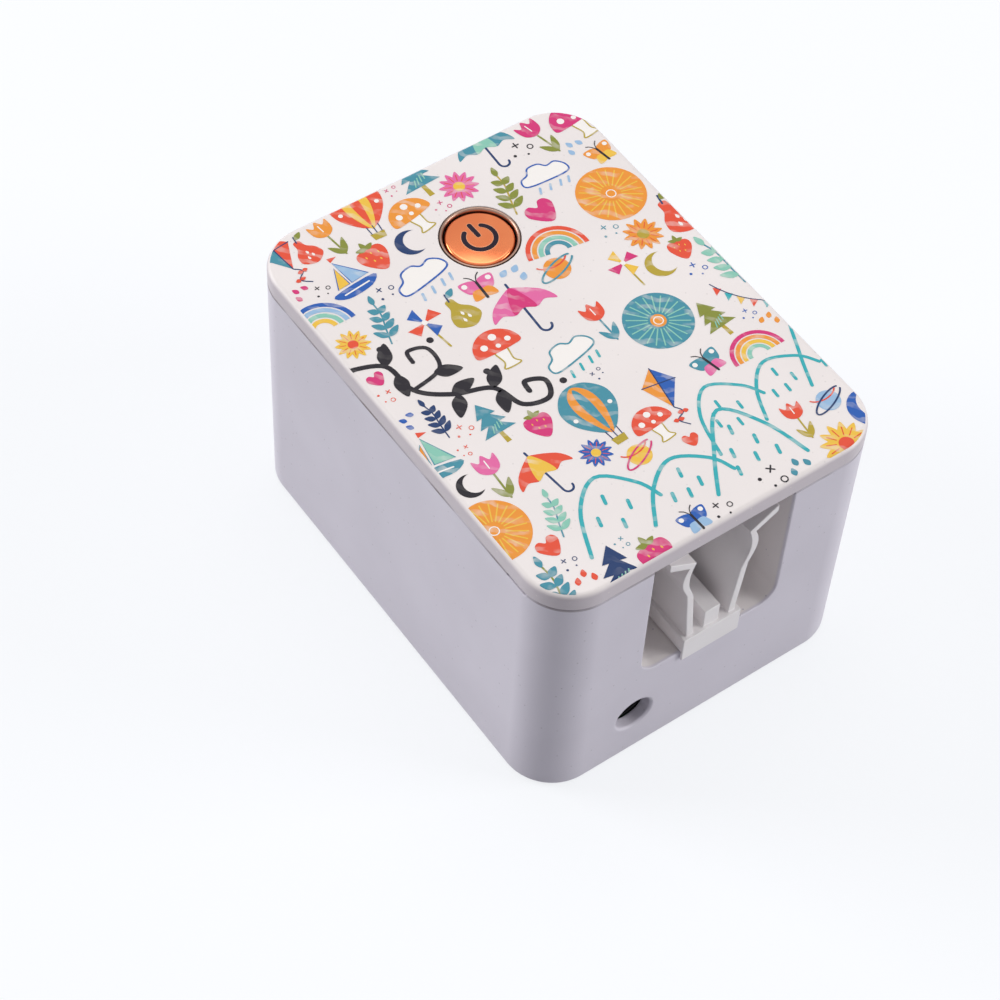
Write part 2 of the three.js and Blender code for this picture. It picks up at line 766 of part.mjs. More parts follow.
// Lid cover: a shallow shell with a rounded top edge, hinge knuckles and the button's bore
function makeLidCover() {
  const outline = rectangle(boxWidth, boxLength, cornerRadius);
  const recess = rectangle(boxWidth - 2 * lidRim, boxLength - 2 * lidRim, cornerRadius - lidRim);
  const low = lidBottom - 2 * lidEdgeRadius;
  const rounded = uprightRounded(outline, low, boxHeight, lidEdgeRadius, cornerSteps);
  const plate = rounded.intersect(upright(outline, lidBottom, boxHeight, cornerSteps));
  const hollow = cutBy(upright(recess, lidBottom - cutOver, lidRecessTop, cornerSteps), lidMagnetSeats());
  const pocketTop = lidBottom + seamGap + lidMagnetThickness + seamGap;
  const magnetPockets = nearCorners.map(([x, y]) => (
    disc(magnetRadius + magnetPocketPlay, lidBottom - cutOver, pocketTop, x, y)));
  const boreTop = boxHeight + cutOver;
  const bezelBoreCut = disc(bezelRadius + seamGap, lidBottom, boreTop, buttonX, buttonY, roundSteps);
  const shell = cutBy(plate, [
    hollow,
    ...magnetPockets,
    bezelBoreCut,
    ...knuckleBars(0, knuckleRadius + knuckleGap, knuckleGap),
  ]);
  const body = joined([shell, ...knuckleBars(1, knuckleRadius)]).subtract(hingeBore());
  addPiece('lid_cover', body, finishes.creamLid);
}

// Lid liner: inner panel that closes the cover and holds the button's bezel in place
function makeLidLiner() {
  const inset = 2 * (lidRim + fitGap);
  const outline = rectangle(boxWidth - inset, boxLength - inset, cornerRadius - lidRim - fitGap);
  const pocketBottom = lidBottom + linerFloor;
  const flangeSeat = linerTop - bezelFlangeThickness - fitGap;
  const body = cutBy(upright(outline, lidBottom, linerTop), [
    ...lidMagnetSeats(fitGap),
    disc(sensorMagnetRadius + magnetPocketPlay, pocketBottom, linerTop + cutOver, buttonX, sensorY),
    disc(bezelRadius + fitGap, lidBottom - cutOver, linerTop + cutOver, buttonX, buttonY, roundSteps),
    disc(bezelRadius + bezelFlange + fitGap, flangeSeat, linerTop + cutOver, buttonX, buttonY, roundSteps),
  ]);
  addPiece('lid_liner', body, finishes.whiteLiner);
}

// Magnets that hold the lid shut, and the small one that its sensor feels
function makeMagnets() {
  const deckTopFace = deckTop - deckMagnetSink;
  const lidFace = lidBottom + seamGap;
  const deckMagnets = nearCorners.map(([x, y]) => (
    disc(magnetRadius, deckTopFace - deckMagnetThickness, deckTopFace, x, y)));
  const lidMagnets = nearCorners.map(([x, y]) => (
    disc(magnetRadius, lidFace, lidFace + lidMagnetThickness, x, y)));
  const sensorBottom = lidBottom + linerFloor + seamGap;
  const sensorMagnet = disc(
    sensorMagnetRadius, sensorBottom, sensorBottom + sensorMagnetThickness, buttonX, sensorY);
  addCopies('deck_magnet', deckMagnets, finishes.nickel);
  addCopies('lid_magnet', lidMagnets, finishes.nickel);
  addPiece('sensor_magnet', sensorMagnet, finishes.nickel);
}

function makeHingePin() {
  const end = hingeSpan / 2 - knuckleGap;
  addPiece('hinge_pin', barAlongX(pinRadius, -end, end, hingeY, hingeZ), finishes.steel);
}

// Bezel: a thin ring in the lid's bore, with a flange caught between cover and liner
function makeBezel() {
  const flangeTop = linerTop;
  const flangeBottom = linerTop - bezelFlangeThickness;
  const bottom = lidBottom + seamGap;
  const ring = turned([
    [bezelBore, bottom],
    [bezelRadius, bottom],
    [bezelRadius, flangeBottom],
    [bezelRadius + bezelFlange, flangeBottom],
    [bezelRadius + bezelFlange, flangeTop],
    [bezelRadius, flangeTop],
    [bezelRadius, boxHeight - bezelEdge],
    [bezelRadius - bezelEdge, boxHeight],
    [bezelBore + bezelEdge, boxHeight],
    [bezelBore, boxHeight - bezelEdge],
    [bezelBore, bottom],
  ], buttonX, buttonY, roundSteps);
  addPiece('button_bezel', ring, finishes.bronzeChrome);
}

// Power button: a crowned cap with a rounded edge, and a stem grooved for its retainer
function makeButton() {
  const top = boxHeight - buttonSink;
  const capBottom = deckTop + buttonTravel + fitGap;
  const edgeSweep = Array.from({ length: edgeSteps + 1 }, (_, i) => {
    const angle = (Math.PI / 2) * (1 - i / edgeSteps);
    return [
      buttonRadius - buttonEdge + buttonEdge * Math.cos(angle),
      top - buttonCrown - buttonEdge + buttonEdge * Math.sin(angle),
    ];
  });
  const profile = [
    [0, stemBottom],
    [stemRadius - footChamfer, stemBottom],
    [stemRadius, stemBottom + footChamfer],
    [stemRadius, retainerBottom - seamGap / 2],
    [stemGrooveRadius, retainerBottom - seamGap / 2],
    [stemGrooveRadius, retainerTop + seamGap / 2],
    [stemRadius, retainerTop + seamGap / 2],
    [stemRadius, capBottom],
    [buttonRadius, capBottom],
    ...edgeSweep.reverse(),
    [0, top],
  ];
  addPiece('power_button', turned(profile, buttonX, buttonY, roundSteps), finishes.copperChrome);
}

// Retainer: an open ring that snaps into the stem's groove under the switch plate
function makeRetainer() {
  const ring = disc(retainerRadius, retainerBottom, retainerTop, buttonX, buttonY);
  const boreRadius = stemGrooveRadius + seamGap;
  const bore = disc(boreRadius, retainerBottom - cutOver, retainerTop + cutOver, buttonX, buttonY);
  const mouth = block(
    [buttonX - stemGrooveRadius, buttonY, retainerBottom - cutOver],
    [buttonX + stemGrooveRadius, buttonY + retainerRadius + cutOver, retainerTop + cutOver]);
  addPiece('button_retainer', ring.subtract(bore).subtract(mouth), finishes.steel);
}

function controlBossX() {
  return [buttonX - bossPitch / 2, buttonX + bossPitch / 2];
}

// Snap hooks under the switch plate, two on each long side, that catch below the deck's ledge
function plateHooks() {
  const hooks = [];
  for (const side of [-1, 1]) {
    const outer = plateMiddle + side * (openingLength / 2 - fitGap);
    const inner = outer - side * hookThickness;
    const tip = outer + side * (hookCatch + fitGap);
    for (const x of [-hookPitch / 2, hookPitch / 2]) {
      const [left, right] = [x - hookWidth / 2, x + hookWidth / 2];
      const catchTop = deckUnderside - fitGap;
      hooks.push(block(
        [left, Math.min(outer, inner), catchTop - hookHeight],
        [right, Math.max(outer, inner), plateUnderside + plateThickness / 2]));
      const wedge = new THREE.Shape();
      wedge.moveTo(inner, catchTop);
      wedge.lineTo(tip, catchTop);
      wedge.lineTo(outer, catchTop - hookHeight);
      wedge.lineTo(inner, catchTop - hookHeight);
      wedge.closePath();
      hooks.push(crosswise(wedge, left, right));
    }
  }
  return hooks;
}

// Switch plate: lies flush in the deck, guides the button and carries the control board
function makeSwitchPlate() {
  const outline = rectangle(plateWidth, plateLength, plateRadius, 0, plateMiddle);
  const plate = upright(outline, plateUnderside, deckTop);
  const bosses = controlBossX().map((x) => (
    disc(bossRadius, boardTop + fitGap, plateUnderside + plateThickness / 2, x, buttonY)));
  const pilotTop = boardBottom + boardScrew.shankLength + fitGap;
  const pilots = controlBossX().map((x) => (
    disc(boardScrew.shankRadius + screwPlay, boardBottom, pilotTop, x, buttonY)));
  const stemHole = disc(stemRadius + fitGap, plateUnderside - cutOver, deckTop + cutOver, buttonX, buttonY);
  const body = cutBy(joined([plate, ...bosses, ...plateHooks()]), [...pilots, stemHole]);
  addPiece('switch_plate', body, finishes.whiteShell);
}

// A circuit board with a hole for each of its screws
function boardWithHoles(outline, low, high, holes, radius) {
  const cutters = holes.map(([x, y]) => disc(radius, low - cutOver, high + cutOver, x, y));
  return cutBy(upright(outline, low, high), cutters);
}

// A screw with its head down, shaped by its own table of sizes, at a place and head height
function screw(kind, x, y, headBottom, countersunk) {
  const shoulder = headBottom + kind.headHeight;
  const recess = kind.headHeight * recessShare;
  const recessRadius = kind.headRadius * recessShare;
  const rim = countersunk ? headBottom : shoulder;
  const profile = [
    [0, headBottom + recess],
    [recessRadius, headBottom],
    [kind.headRadius, headBottom],
    ...(countersunk ? [] : [[kind.headRadius, rim]]),
    [kind.shankRadius, shoulder],
    [kind.shankRadius, shoulder + kind.shankLength - kind.shankRadius],
    [0, shoulder + kind.shankLength],
  ];
  return turned(profile, x, y);
}

function makeControlBoard() {
  const outline = rectangle(
    openingWidth - 2 * controlBoardMargin, openingLength - 2 * controlBoardMargin, controlBoardMargin,
    0, plateMiddle);
  const places = controlBossX().map((x) => [x, buttonY]);
  const holeRadius = boardScrew.shankRadius + screwPlay;
  const board = boardWithHoles(outline, boardBottom, boardTop, places, holeRadius);
  addPiece('control_board', board, finishes.greenBoard);
  const headBottom = boardBottom - seamGap - boardScrew.headHeight;
  const screws = places.map(([x, y]) => screw(boardScrew, x, y, headBottom, false));
  addCopies('control_board_screw', screws, finishes.steel);
}

// Tactile switch under the button: a square body and the round plunger that the stem presses
function makeSwitch() {
  const outline = rectangle(switchWidth, switchWidth, switchCorner, buttonX, buttonY);
  const seatBottom = switchTop - plungerSeat - buttonTravel;
  const socket = disc(plungerRadius + seamGap, seatBottom, switchTop + cutOver, buttonX, buttonY);
  addPiece('switch_body', upright(outline, switchBottom, switchTop).subtract(socket), finishes.blackPlastic);
  const plungerBottom = seatBottom + buttonTravel + seamGap;
  const plunger = disc(plungerRadius, plungerBottom, plungerTop, buttonX, buttonY);
  addPiece('switch_plunger', plunger, finishes.ceramic);
}

function makeLidSensor() {
  const outline = rectangle(sensorWidth, sensorLength, 0, buttonX, sensorY);
  const bottom = boardTop + fitGap;
  addPiece('lid_sensor', upright(outline, bottom, bottom + sensorHeight), finishes.blackPlastic);
}

// Lamp: clear window, two emitters with domed lenses, their board and its screws
function makeLamp() {
  const pane = rectangle(windowLength, windowHeight, windowLip, chamberMiddle, lampHeight);
  const window = crosswise(pane, pocketOuterX, pocketOuterX + windowThickness);
  addPiece('lamp_window', window, finishes.clearQuartz);
  const emitters = lampPlaces(emitterPitch).map((y) => {
    const square = rectangle(emitterWidth, emitterWidth, 0, y, lampHeight);
    const base = crosswise(square, emitterFront - emitterThickness, emitterFront - emitterThickness / 2);
    const lens = new THREE.SphereGeometry(emitterLens, smallRoundSteps, smallRoundSteps / 2);
    lens.scale(emitterThickness / emitterLens, 1, 1);
    lens.translate(emitterFront - emitterThickness, y, lampHeight);
    const front = block(
      [emitterFront - emitterThickness, y - emitterLens, lampHeight - emitterLens],
      [emitterFront, y + emitterLens, lampHeight + emitterLens]);
    return base.add(solid(lens).intersect(front));
  });
  addCopies('lamp_emitter', emitters, finishes.ceramic);
  const boardOutline = rectangle(lampBoardLength, lampBoardHeight, windowLip, chamberMiddle, lampHeight);
  const holeRadius = lampScrew.shankRadius + screwPlay;
  const holes = lampPlaces(lampPostPitch).map((y) => (
    barAlongX(holeRadius, lampBoardBack - cutOver, lampBoardFront + cutOver, y, lampHeight)));
  const board = cutBy(crosswise(boardOutline, lampBoardBack, lampBoardFront), holes);
  addPiece('lamp_board', board, finishes.greenBoard);
  const screws = lampPlaces(lampPostPitch).map((y) => {
    const headEnd = lampBoardBack - seamGap;
    const head = barAlongX(lampScrew.headRadius, headEnd - lampScrew.headHeight, headEnd, y, lampHeight);
    const shankStart = headEnd - lampScrew.headHeight / 2;
    const shankEnd = lampBoardBack + lampScrew.shankLength;
    return head.add(barAlongX(lampScrew.shankRadius, shankStart, shankEnd, y, lampHeight));
  });
  addCopies('lamp_board_screw', screws, finishes.steel);
}

// Charging socket behind the port: bored body, centre pin, board and the board's screws
function makeCharger() {
  const half = jackWidth / 2;
  const body = block(
    [portX - half, jackNear, jackBottom],
    [portX + half, jackFar, jackBottom + jackHeight]);
  const boreEnd = jackFar - jackBackWall;
  const bore = barAlongY(jackBore / 2, jackNear - cutOver, boreEnd, portX, portHeight, roundSteps);
  const pinHole = barAlongY(jackPinRadius + screwPlay, jackNear, jackFar + cutOver, portX, portHeight);
  addPiece('charging_socket', body.subtract(bore).subtract(pinHole), finishes.blackPlastic);
  const pin = barAlongY(jackPinRadius, jackNear + jackPinSink, jackFar + jackPinTail, portX, portHeight);
  addPiece('socket_pin', pin, finishes.nickel);
  const left = portX - chargeBoardLeft;
  const boardWidth = chargeBoardEdge - left;
  const boardMiddleY = jackNear + chargeBoardLength / 2;
  const outline = rectangle(boardWidth, chargeBoardLength, 0, left + boardWidth / 2, boardMiddleY);
  const places = chargeBossX.map((x) => [x, chargeBossY]);
  const board = boardWithHoles(outline, chargeBoardBottom, chargeBoardTop, places,
    boardScrew.shankRadius + screwPlay);
  addPiece('charging_board', board, finishes.greenBoard);
  const headBottom = chargeBoardBottom - seamGap - boardScrew.headHeight;
  const screws = places.map(([x, y]) => screw(boardScrew, x, y, headBottom, false));
  addCopies('charging_board_screw', screws, finishes.steel);
}

// Ribs on the back cover that stand round the battery's corners
function batteryCradle() {
  const ribs = [];
  const top = coverTop + cradleHeight;
  for (const sideX of [-1, 1]) {
    for (const sideY of [-1, 1]) {
      const innerX = sideX * (batteryWidth / 2 + fitGap);
      const innerY = batteryMiddle + sideY * (batteryLength / 2 + fitGap);
      const outerX = innerX + sideX * cradleThickness;
      const outerY = innerY + sideY * cradleThickness;
      const backX = innerX - sideX * cradleReach;
      const backY = innerY - sideY * cradleReach;
      const low = coverTop - coverThickness / 2;
      ribs.push(block(
        [Math.min(outerX, backX), Math.min(innerY, outerY), low],
        [Math.max(outerX, backX), Math.max(innerY, outerY), top]));
      ribs.push(block(
        [Math.min(innerX, outerX), Math.min(outerY, backY), low],
        [Math.max(innerX, outerX), Math.max(outerY, backY), top]));
    }
  }
  return ribs;
}

// Back cover: an inset plate with countersunk holes and the battery's cradle
function makeBackCover() {
  const inset = 2 * (outerWall + fitGap);
  const radius = cornerRadius - outerWall - fitGap;
  const outline = rectangle(boxWidth - inset, boxLength - inset, radius);
  const plate = upright(outline, coverSink, coverTop, cornerSteps);
  const play = screwPlay;
  const holes = corners.map(([x, y]) => turned([
    [0, coverSink - cutOver],
    [coverScrew.headRadius + play, coverSink - cutOver],
    [coverScrew.headRadius + play, coverSink + play],
    [coverScrew.shankRadius + play, coverSink + coverScrew.headHeight + play],
    [coverScrew.shankRadius + play, coverTop + cutOver],
    [0, coverTop + cutOver],
  ], x, y));
  addPiece('back_cover', cutBy(joined([plate, ...batteryCradle()]), holes), finishes.whiteShell);
  const screws = corners.map(([x, y]) => screw(coverScrew, x, y, coverSink, true));
  addCopies('back_screw', screws, finishes.steel);
  const padOutline = rectangle(boxWidth - 2 * padFromSide, boxLength - 2 * padFromEnd, padRadius);
  const pad = upright(padOutline, 0, padThickness);
  addPiece('wall_pad', pad, finishes.whitePad);
}

function makeBattery() {
  const outline = rectangle(batteryWidth, batteryLength, batteryEdge, 0, batteryMiddle);
  const cell = uprightRounded(outline, batteryBottom, batteryTop, batteryEdge / 2);
  addPiece('battery', cell, finishes.silverFoil);
  const foamOutline = rectangle(
    batteryWidth - 2 * foamFromSide, batteryLength - 2 * foamFromEnd, 0, 0, batteryMiddle);
  const foam = upright(foamOutline, foamBottom, foamTop);
  addPiece('battery_foam', foam, finishes.greyFoam);
}

// A pair of wires side by side along one route
function wirePair(points, offset) {
  return [-1, 1].map((side) => {
    const route = new THREE.CatmullRomCurve3(points.map((point) => (
      new THREE.Vector3(...point).addScaledVector(offset, side * wirePitch / 2))));
    const section = new THREE.Shape();
    section.absarc(0, 0, wireRadius, 0, 2 * Math.PI);
    return solid(new THREE.ExtrudeGeometry(section, {
      steps: wireSteps, extrudePath: route, bevelEnabled: false, curveSegments: wireSides / 2,
    }));
  });
}

// Wires from the battery to its board, from that board to the control board, and to the lamp
function makeWires() {
  const bend = 4 * wireRadius;
  const leadX = (chargeBossX[0] + chargeBossX[1]) / 2;
  const leadY = batteryNear - wireEndGap - bend;
  addCopies('battery_lead', wirePair([
    [leadX, batteryNear - wireEndGap, portHeight],
    [leadX, leadY + bend / 4, portHeight - bend / 4],
    [leadX, leadY, portHeight - bend],
    [leadX, leadY, chargeBoardTop + wireEndGap],
  ], new THREE.Vector3(1, 0, 0)), finishes.redWire);

  const diagonal = new THREE.Vector3(1, -1, 1).normalize();
  const endGap = wireEndGap + diagonal.x * wirePitch / 2;
  const edgeX = chargeBoardEdge + endGap;
  const wireY = jackNear + chargeBoardLength - bend;
  const boardMiddle = chargeBoardTop - chargeBoardThickness / 2;
  const sideX = boxWidth / 2 - outerWall - 2 * bend;
  const riseY = chamberFar + pocketWall + 2 * bend;
  const endX = openingWidth / 2 - controlBoardMargin - bend / 2;
  const endY = buttonY + 3 * bend;
  const span = sideX - edgeX;
  const climb = boardBottom - portHeight;
  addCopies('power_lead', wirePair([
    [edgeX, wireY, boardMiddle],
    [edgeX + span / 4, wireY, boardMiddle + bend / 4],
    [edgeX + span / 2, wireY + bend / 4, portHeight - bend / 4],
    [edgeX + 3 * span / 4, wireY + bend, portHeight],
    [sideX, wireY + 3 * bend, portHeight],
    [sideX, chamberMiddle, portHeight],
    [sideX, riseY - 2 * bend, portHeight],
    [sideX, riseY, portHeight + climb / 4],
    [sideX, riseY, portHeight + climb / 2],
    [sideX - bend, riseY + bend, boardBottom - climb / 4],
    [endX + bend / 4, endY - bend / 2, boardBottom - 2 * bend],
    [endX, endY, boardBottom - bend],
    [endX, endY, boardBottom - endGap],
  ], diagonal), finishes.blueWire);

  const lampEnd = chamberMiddle + lampBoardLength / 2;
  const lampX = lampBoardBack + lampBoardThickness / 2;
  addCopies('lamp_lead', wirePair([
    [lampX, lampEnd + endGap, lampHeight],
    [lampX, lampEnd + 2 * bend, lampHeight],
    [lampX + bend, chamberFar + pocketWall + 2 * bend, lampHeight - bend],
    [lampX + 3 * bend, buttonY + bend, lampHeight - 2 * bend],
    [-endX, buttonY + 2 * bend, lampHeight - bend],
    [-endX, buttonY + 2 * bend, boardBottom - endGap],
  ], diagonal), finishes.yellowWire);
}

makeHousing();
makeClip();
makeLidCover();
makeLidLiner();
makeMagnets();
makeHingePin();
makeBezel();
makeButton();
makeRetainer();
makeSwitchPlate();
makeControlBoard();
makeSwitch();
makeLidSensor();
makeLamp();
makeCharger();
makeBackCover();
makeBattery();
makeWires();

export default sterilizer;
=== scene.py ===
import json
from math import cos, hypot, pi, radians, sin, sqrt

import bmesh
import bpy
from mathutils import Matrix, Vector

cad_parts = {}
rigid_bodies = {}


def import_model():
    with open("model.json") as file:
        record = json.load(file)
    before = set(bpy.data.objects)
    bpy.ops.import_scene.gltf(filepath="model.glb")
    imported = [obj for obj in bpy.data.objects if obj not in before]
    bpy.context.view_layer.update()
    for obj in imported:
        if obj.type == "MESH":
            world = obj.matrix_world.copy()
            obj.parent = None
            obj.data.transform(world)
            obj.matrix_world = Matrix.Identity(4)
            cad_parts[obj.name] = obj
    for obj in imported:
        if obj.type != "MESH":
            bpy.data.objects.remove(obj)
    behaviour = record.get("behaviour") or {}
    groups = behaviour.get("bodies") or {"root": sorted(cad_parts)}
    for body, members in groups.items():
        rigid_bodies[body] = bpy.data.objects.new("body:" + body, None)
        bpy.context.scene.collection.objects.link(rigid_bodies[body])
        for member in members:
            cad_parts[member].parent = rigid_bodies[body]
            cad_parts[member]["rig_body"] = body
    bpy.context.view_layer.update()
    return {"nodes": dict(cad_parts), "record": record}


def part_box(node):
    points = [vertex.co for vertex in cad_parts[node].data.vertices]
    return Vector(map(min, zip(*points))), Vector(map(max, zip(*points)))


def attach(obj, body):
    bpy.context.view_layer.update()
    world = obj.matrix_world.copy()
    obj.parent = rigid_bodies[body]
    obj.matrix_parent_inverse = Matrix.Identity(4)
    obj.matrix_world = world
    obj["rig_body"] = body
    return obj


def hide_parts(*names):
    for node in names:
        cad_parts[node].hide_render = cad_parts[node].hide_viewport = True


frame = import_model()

# Toothbrush sterilizer: a box with a printed lid, a chamber for the brush head and a neck slot.
# Shapes are made in millimetres and scaled to metres when a piece is finished.
MM = 0.001
# Edges shorter than this are merged before a piece is softened
SMALLEST = 0.02
SLOT_OF = {part["node"]: part["material_slot"] for part in frame["record"]["subparts"]}

# Box
WIDTH, LENGTH, HEIGHT = 55.0, 73.0, 45.8
CORNER = 7.5
WALL = 2.0
LID_BOTTOM = 42.8
DECK_TOP = 42.65
DECK_UNDER = 40.05
FIT = 0.25
SEAM = 0.15
OVER = 1.0
NEAR, FAR = -LENGTH / 2, LENGTH / 2
ROUND_STEPS = 96
SMALL_STEPS = 32

# Chamber, slot and port
CHAMBER_LOW = (-17.5, -24.2, 15.65)
CHAMBER_HIGH = (17.5, 13.6)
CHAMBER_CORNER = 4.0
CHAMBER_FLOOR_EDGE = 1.5
POCKET_WALL = 1.6
SLOT_HALF = 11.6
SLOT_FLOOR = 18.65
SLOT_CORNER = 3.0
PORT_X, PORT_Z, PORT_RADIUS = -11.7, 8.9, 2.95
PORT_CHAMFER = 0.3

# Lid, hinge and button
LID_TOP = 45.74
LID_EDGE = 0.9
LID_RIM = 2.4
LID_RECESS_TOP = 44.5
LINER_TOP = 44.3
HINGE_Y, HINGE_Z = 36.5, 42.725
KNUCKLE_RADIUS, KNUCKLE_GAP, PIN_BORE = 1.5, 0.3, 0.72
KNUCKLE_ENDS = [-20, -12, -4, 4, 12, 20]
BUTTON_PLACE = BUTTON_X, BUTTON_Y = 1.0, 21.0
BUTTON_RADIUS, BUTTON_TOP, BUTTON_CROWN, BUTTON_EDGE = 5.0, 45.72, 0.18, 0.55
BEZEL_BORE, BEZEL_RADIUS = 5.18, 5.65
BUTTON_HOLE = 5.8


# Shapes
def move(bm, offset, verts=None):
    bmesh.ops.translate(bm, vec=offset, verts=verts or bm.verts)


def rounded_box(low, high, corner=0.0, top=0.0, bottom=0.0, steps=16, edge_steps=6):
    """A box with rounded upright edges, and its top and bottom rims rounded where a radius is given."""
    bm = bmesh.new()
    size = Vector(high) - Vector(low)
    bmesh.ops.create_cube(bm, size=1.0)
    bmesh.ops.scale(bm, vec=size, verts=bm.verts)
    move(bm, (Vector(high) + Vector(low)) / 2)
    if corner:
        upright = [e for e in bm.edges if abs(e.verts[0].co.z - e.verts[1].co.z) > size.z / 2]
        bevel(bm, upright, corner, steps)
    for height, radius in ((high[2], top), (low[2], bottom)):
        if radius:
            rim = [e for e in bm.edges if all(abs(v.co.z - height) < 1e-5 for v in e.verts)]
            bevel(bm, rim, radius, edge_steps)
    return bm


def bevel(bm, edges, radius, segments):
    bmesh.ops.bevel(bm, geom=edges, offset=radius, segments=segments, profile=0.5, affect="EDGES",
                    clamp_overlap=False, material=-1)


def turned(profile, middle=(0.0, 0.0), steps=ROUND_STEPS):
    """A closed profile of radius and height, spun about an upright axis."""
    bm = bmesh.new()
    points = [bm.verts.new((radius, 0.0, height)) for radius, height in profile]
    edges = [bm.edges.new(pair) for pair in zip(points, points[1:])]
    if profile[0][0] > 0:
        edges.append(bm.edges.new((points[-1], points[0])))
    bmesh.ops.spin(bm, geom=points + edges, cent=(0, 0, 0), axis=(0, 0, 1), angle=2 * pi,
                   steps=steps, use_merge=True)
    bmesh.ops.remove_doubles(bm, verts=bm.verts, dist=1e-5)
    bmesh.ops.recalc_face_normals(bm, faces=bm.faces)
    move(bm, (*middle, 0))
    return bm


def disc(radius, low, high, middle=(0.0, 0.0), steps=SMALL_STEPS):
    return turned([(0, low), (radius, low), (radius, high), (0, high)], middle, steps)


def discs(radius, low, high, places):
    return [disc(radius, low, high, place) for place in places]


def turn_to(bm, axis, place):
    """Lays an upright shape along X or Y, then moves it to its place."""
    if axis == "X":
        bmesh.ops.rotate(bm, matrix=Matrix.Rotation(pi / 2, 3, "Y"), verts=bm.verts)
    if axis == "Y":
        bmesh.ops.rotate(bm, matrix=Matrix.Rotation(-pi / 2, 3, "X"), verts=bm.verts)
    move(bm, place)
    return bm


def bar_along_x(radius, left, right, y, z):
    return turn_to(disc(radius, left, right), "X", (0, y, z))


def placed(name, data):
    """An object in the scene for a mesh, a lamp or a camera."""
    made = bpy.data.objects.new(name, data)
    bpy.context.scene.collection.objects.link(made)
    return made


def meshed(name, bm):
    """An object in the scene from a finished shape."""
    mesh = bpy.data.meshes.new(name)
    bm.to_mesh(mesh)
    bm.free()
    return placed(name, mesh)


def combined(first, others, operation):
    """Joins solids to the first or cuts them from it, one after another."""
    whole, *tools = [meshed("shape", bm) for bm in (first, *others)]
    for tool in tools:
        step = whole.modifiers.new("step", "BOOLEAN")
        step.operation = operation
        step.solver = "EXACT"
        step.object = tool
    bpy.context.view_layer.update()
    evaluated = whole.evaluated_get(bpy.context.evaluated_depsgraph_get())
    bm = bmesh.new()
    bm.from_mesh(evaluated.to_mesh())
    evaluated.to_mesh_clear()
    for used in [whole, *tools]:
        mesh = used.data
        bpy.data.objects.remove(used)
        bpy.data.meshes.remove(mesh)
    return bm


def joined(first, *others):
    return combined(first, others, "UNION")


def cut(first, *others):
    return combined(first, others, "DIFFERENCE")


def finish_piece(name, bm, finish, node, stands_for=True, edge=0.0, angle=35, clamp=False):
    """Makes a piece from a shape in millimetres, softens its sharp edges and lets it ride on its node's body."""
    body, slot, replaced = frame["nodes"][node]["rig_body"], SLOT_OF[node], [node] if stands_for else []
    if edge:
        bmesh.ops.remove_doubles(bm, verts=bm.verts, dist=SMALLEST)
        bmesh.ops.dissolve_degenerate(bm, edges=bm.edges, dist=SMALLEST)
    bmesh.ops.scale(bm, vec=(MM, MM, MM), verts=bm.verts)
    piece = meshed(name, bm)
    piece.data.materials.append(FINISHES[finish])
    piece.data.polygons.foreach_set("use_smooth", [True] * len(piece.data.polygons))
    piece.data.set_sharp_from_angle(angle=radians(angle))
    if edge:
        soften = piece.modifiers.new("soft_edges", "BEVEL")
        soften.width = edge * MM
        soften.segments = 2
        soften.limit_method = "ANGLE"
        soften.angle_limit = radians(angle)
        soften.harden_normals = True
        soften.use_clamp_overlap = clamp
    even = piece.modifiers.new("even_shading", "WEIGHTED_NORMAL")
    even.keep_sharp = True
    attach(piece, body)
    if replaced:
        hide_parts(*replaced)
    return piece


# Materials
def linear(colour):
    """Linear colour from an sRGB hex value."""
    values = [int(colour[i:i + 2], 16) / 255 for i in (1, 3, 5)]
    return [v / 12.92 if v <= 0.04045 else ((v + 0.055) / 1.055) ** 2.4 for v in values] + [1.0]


def add(beside, kind, inputs=None, **settings):
    """Adds a shader node to the tree of a node or socket, with its settings, and its inputs as values or links."""
    tree = beside.id_data
    made = tree.nodes.new("ShaderNode" + kind)
    for key, value in settings.items():
        setattr(made, key, value)
    for key, value in (inputs or {}).items():
        if isinstance(value, bpy.types.NodeSocket):
            tree.links.new(value, made.inputs[key])
        else:
            made.inputs[key].default_value = value
    return made


def new_material(name, **shader):
    """A material with its principled shader and the object's own coordinates."""
    made = bpy.data.materials.new(name)
    made.use_nodes = True
    surface = made.node_tree.nodes["Principled BSDF"]
    for key, value in shader.items():
        surface.inputs[key.replace("_", " ")].default_value = value
    return made, surface, add(surface, "TexCoord").outputs["Object"]


def feed(surface, **values):
    """Links values to a shader's inputs."""
    for key, value in values.items():
        surface.id_data.links.new(value, surface.inputs[key.replace("_", " ")])


def shades(factor, *stops):
    """A colour ramp between two pairs of place and hex colour."""
    ramp = add(factor, "ValToRGB", {"Fac": factor})
    for stop, (position, colour) in zip(ramp.color_ramp.elements, stops):
        stop.position = position
        stop.color = linear(colour)
    return ramp.outputs["Color"]


def levels(factor, low, high, first=0.0, last=1.0):
    """A value mapped from one range to another."""
    return add(factor, "MapRange", {
        "Value": factor, "From Min": first, "From Max": last, "To Min": low, "To Max": high,
    }).outputs["Result"]


def noise(place, size, detail=2.0, roughness=0.5):
    """Noise whose blots are about that many millimetres wide."""
    return add(place, "TexNoise", {
        "Vector": place, "Scale": 1 / (size * MM), "Detail": detail, "Roughness": roughness,
    }).outputs["Fac"]


def raised(surface, height, depth):
    """Bump from a height, its depth in millimetres."""
    bump = add(surface, "Bump", {"Height": height, "Distance": depth * MM})
    feed(surface, Normal=bump.outputs["Normal"])


def blend(factor, first, second):
    return add(factor, "Mix", {"Factor": factor, "A": first, "B": second}, data_type="RGBA").outputs["Result"]


def reckon(operation, first, second=0.0):
    return add(first, "Math", {0: first, 1: second}, operation=operation).outputs["Value"]


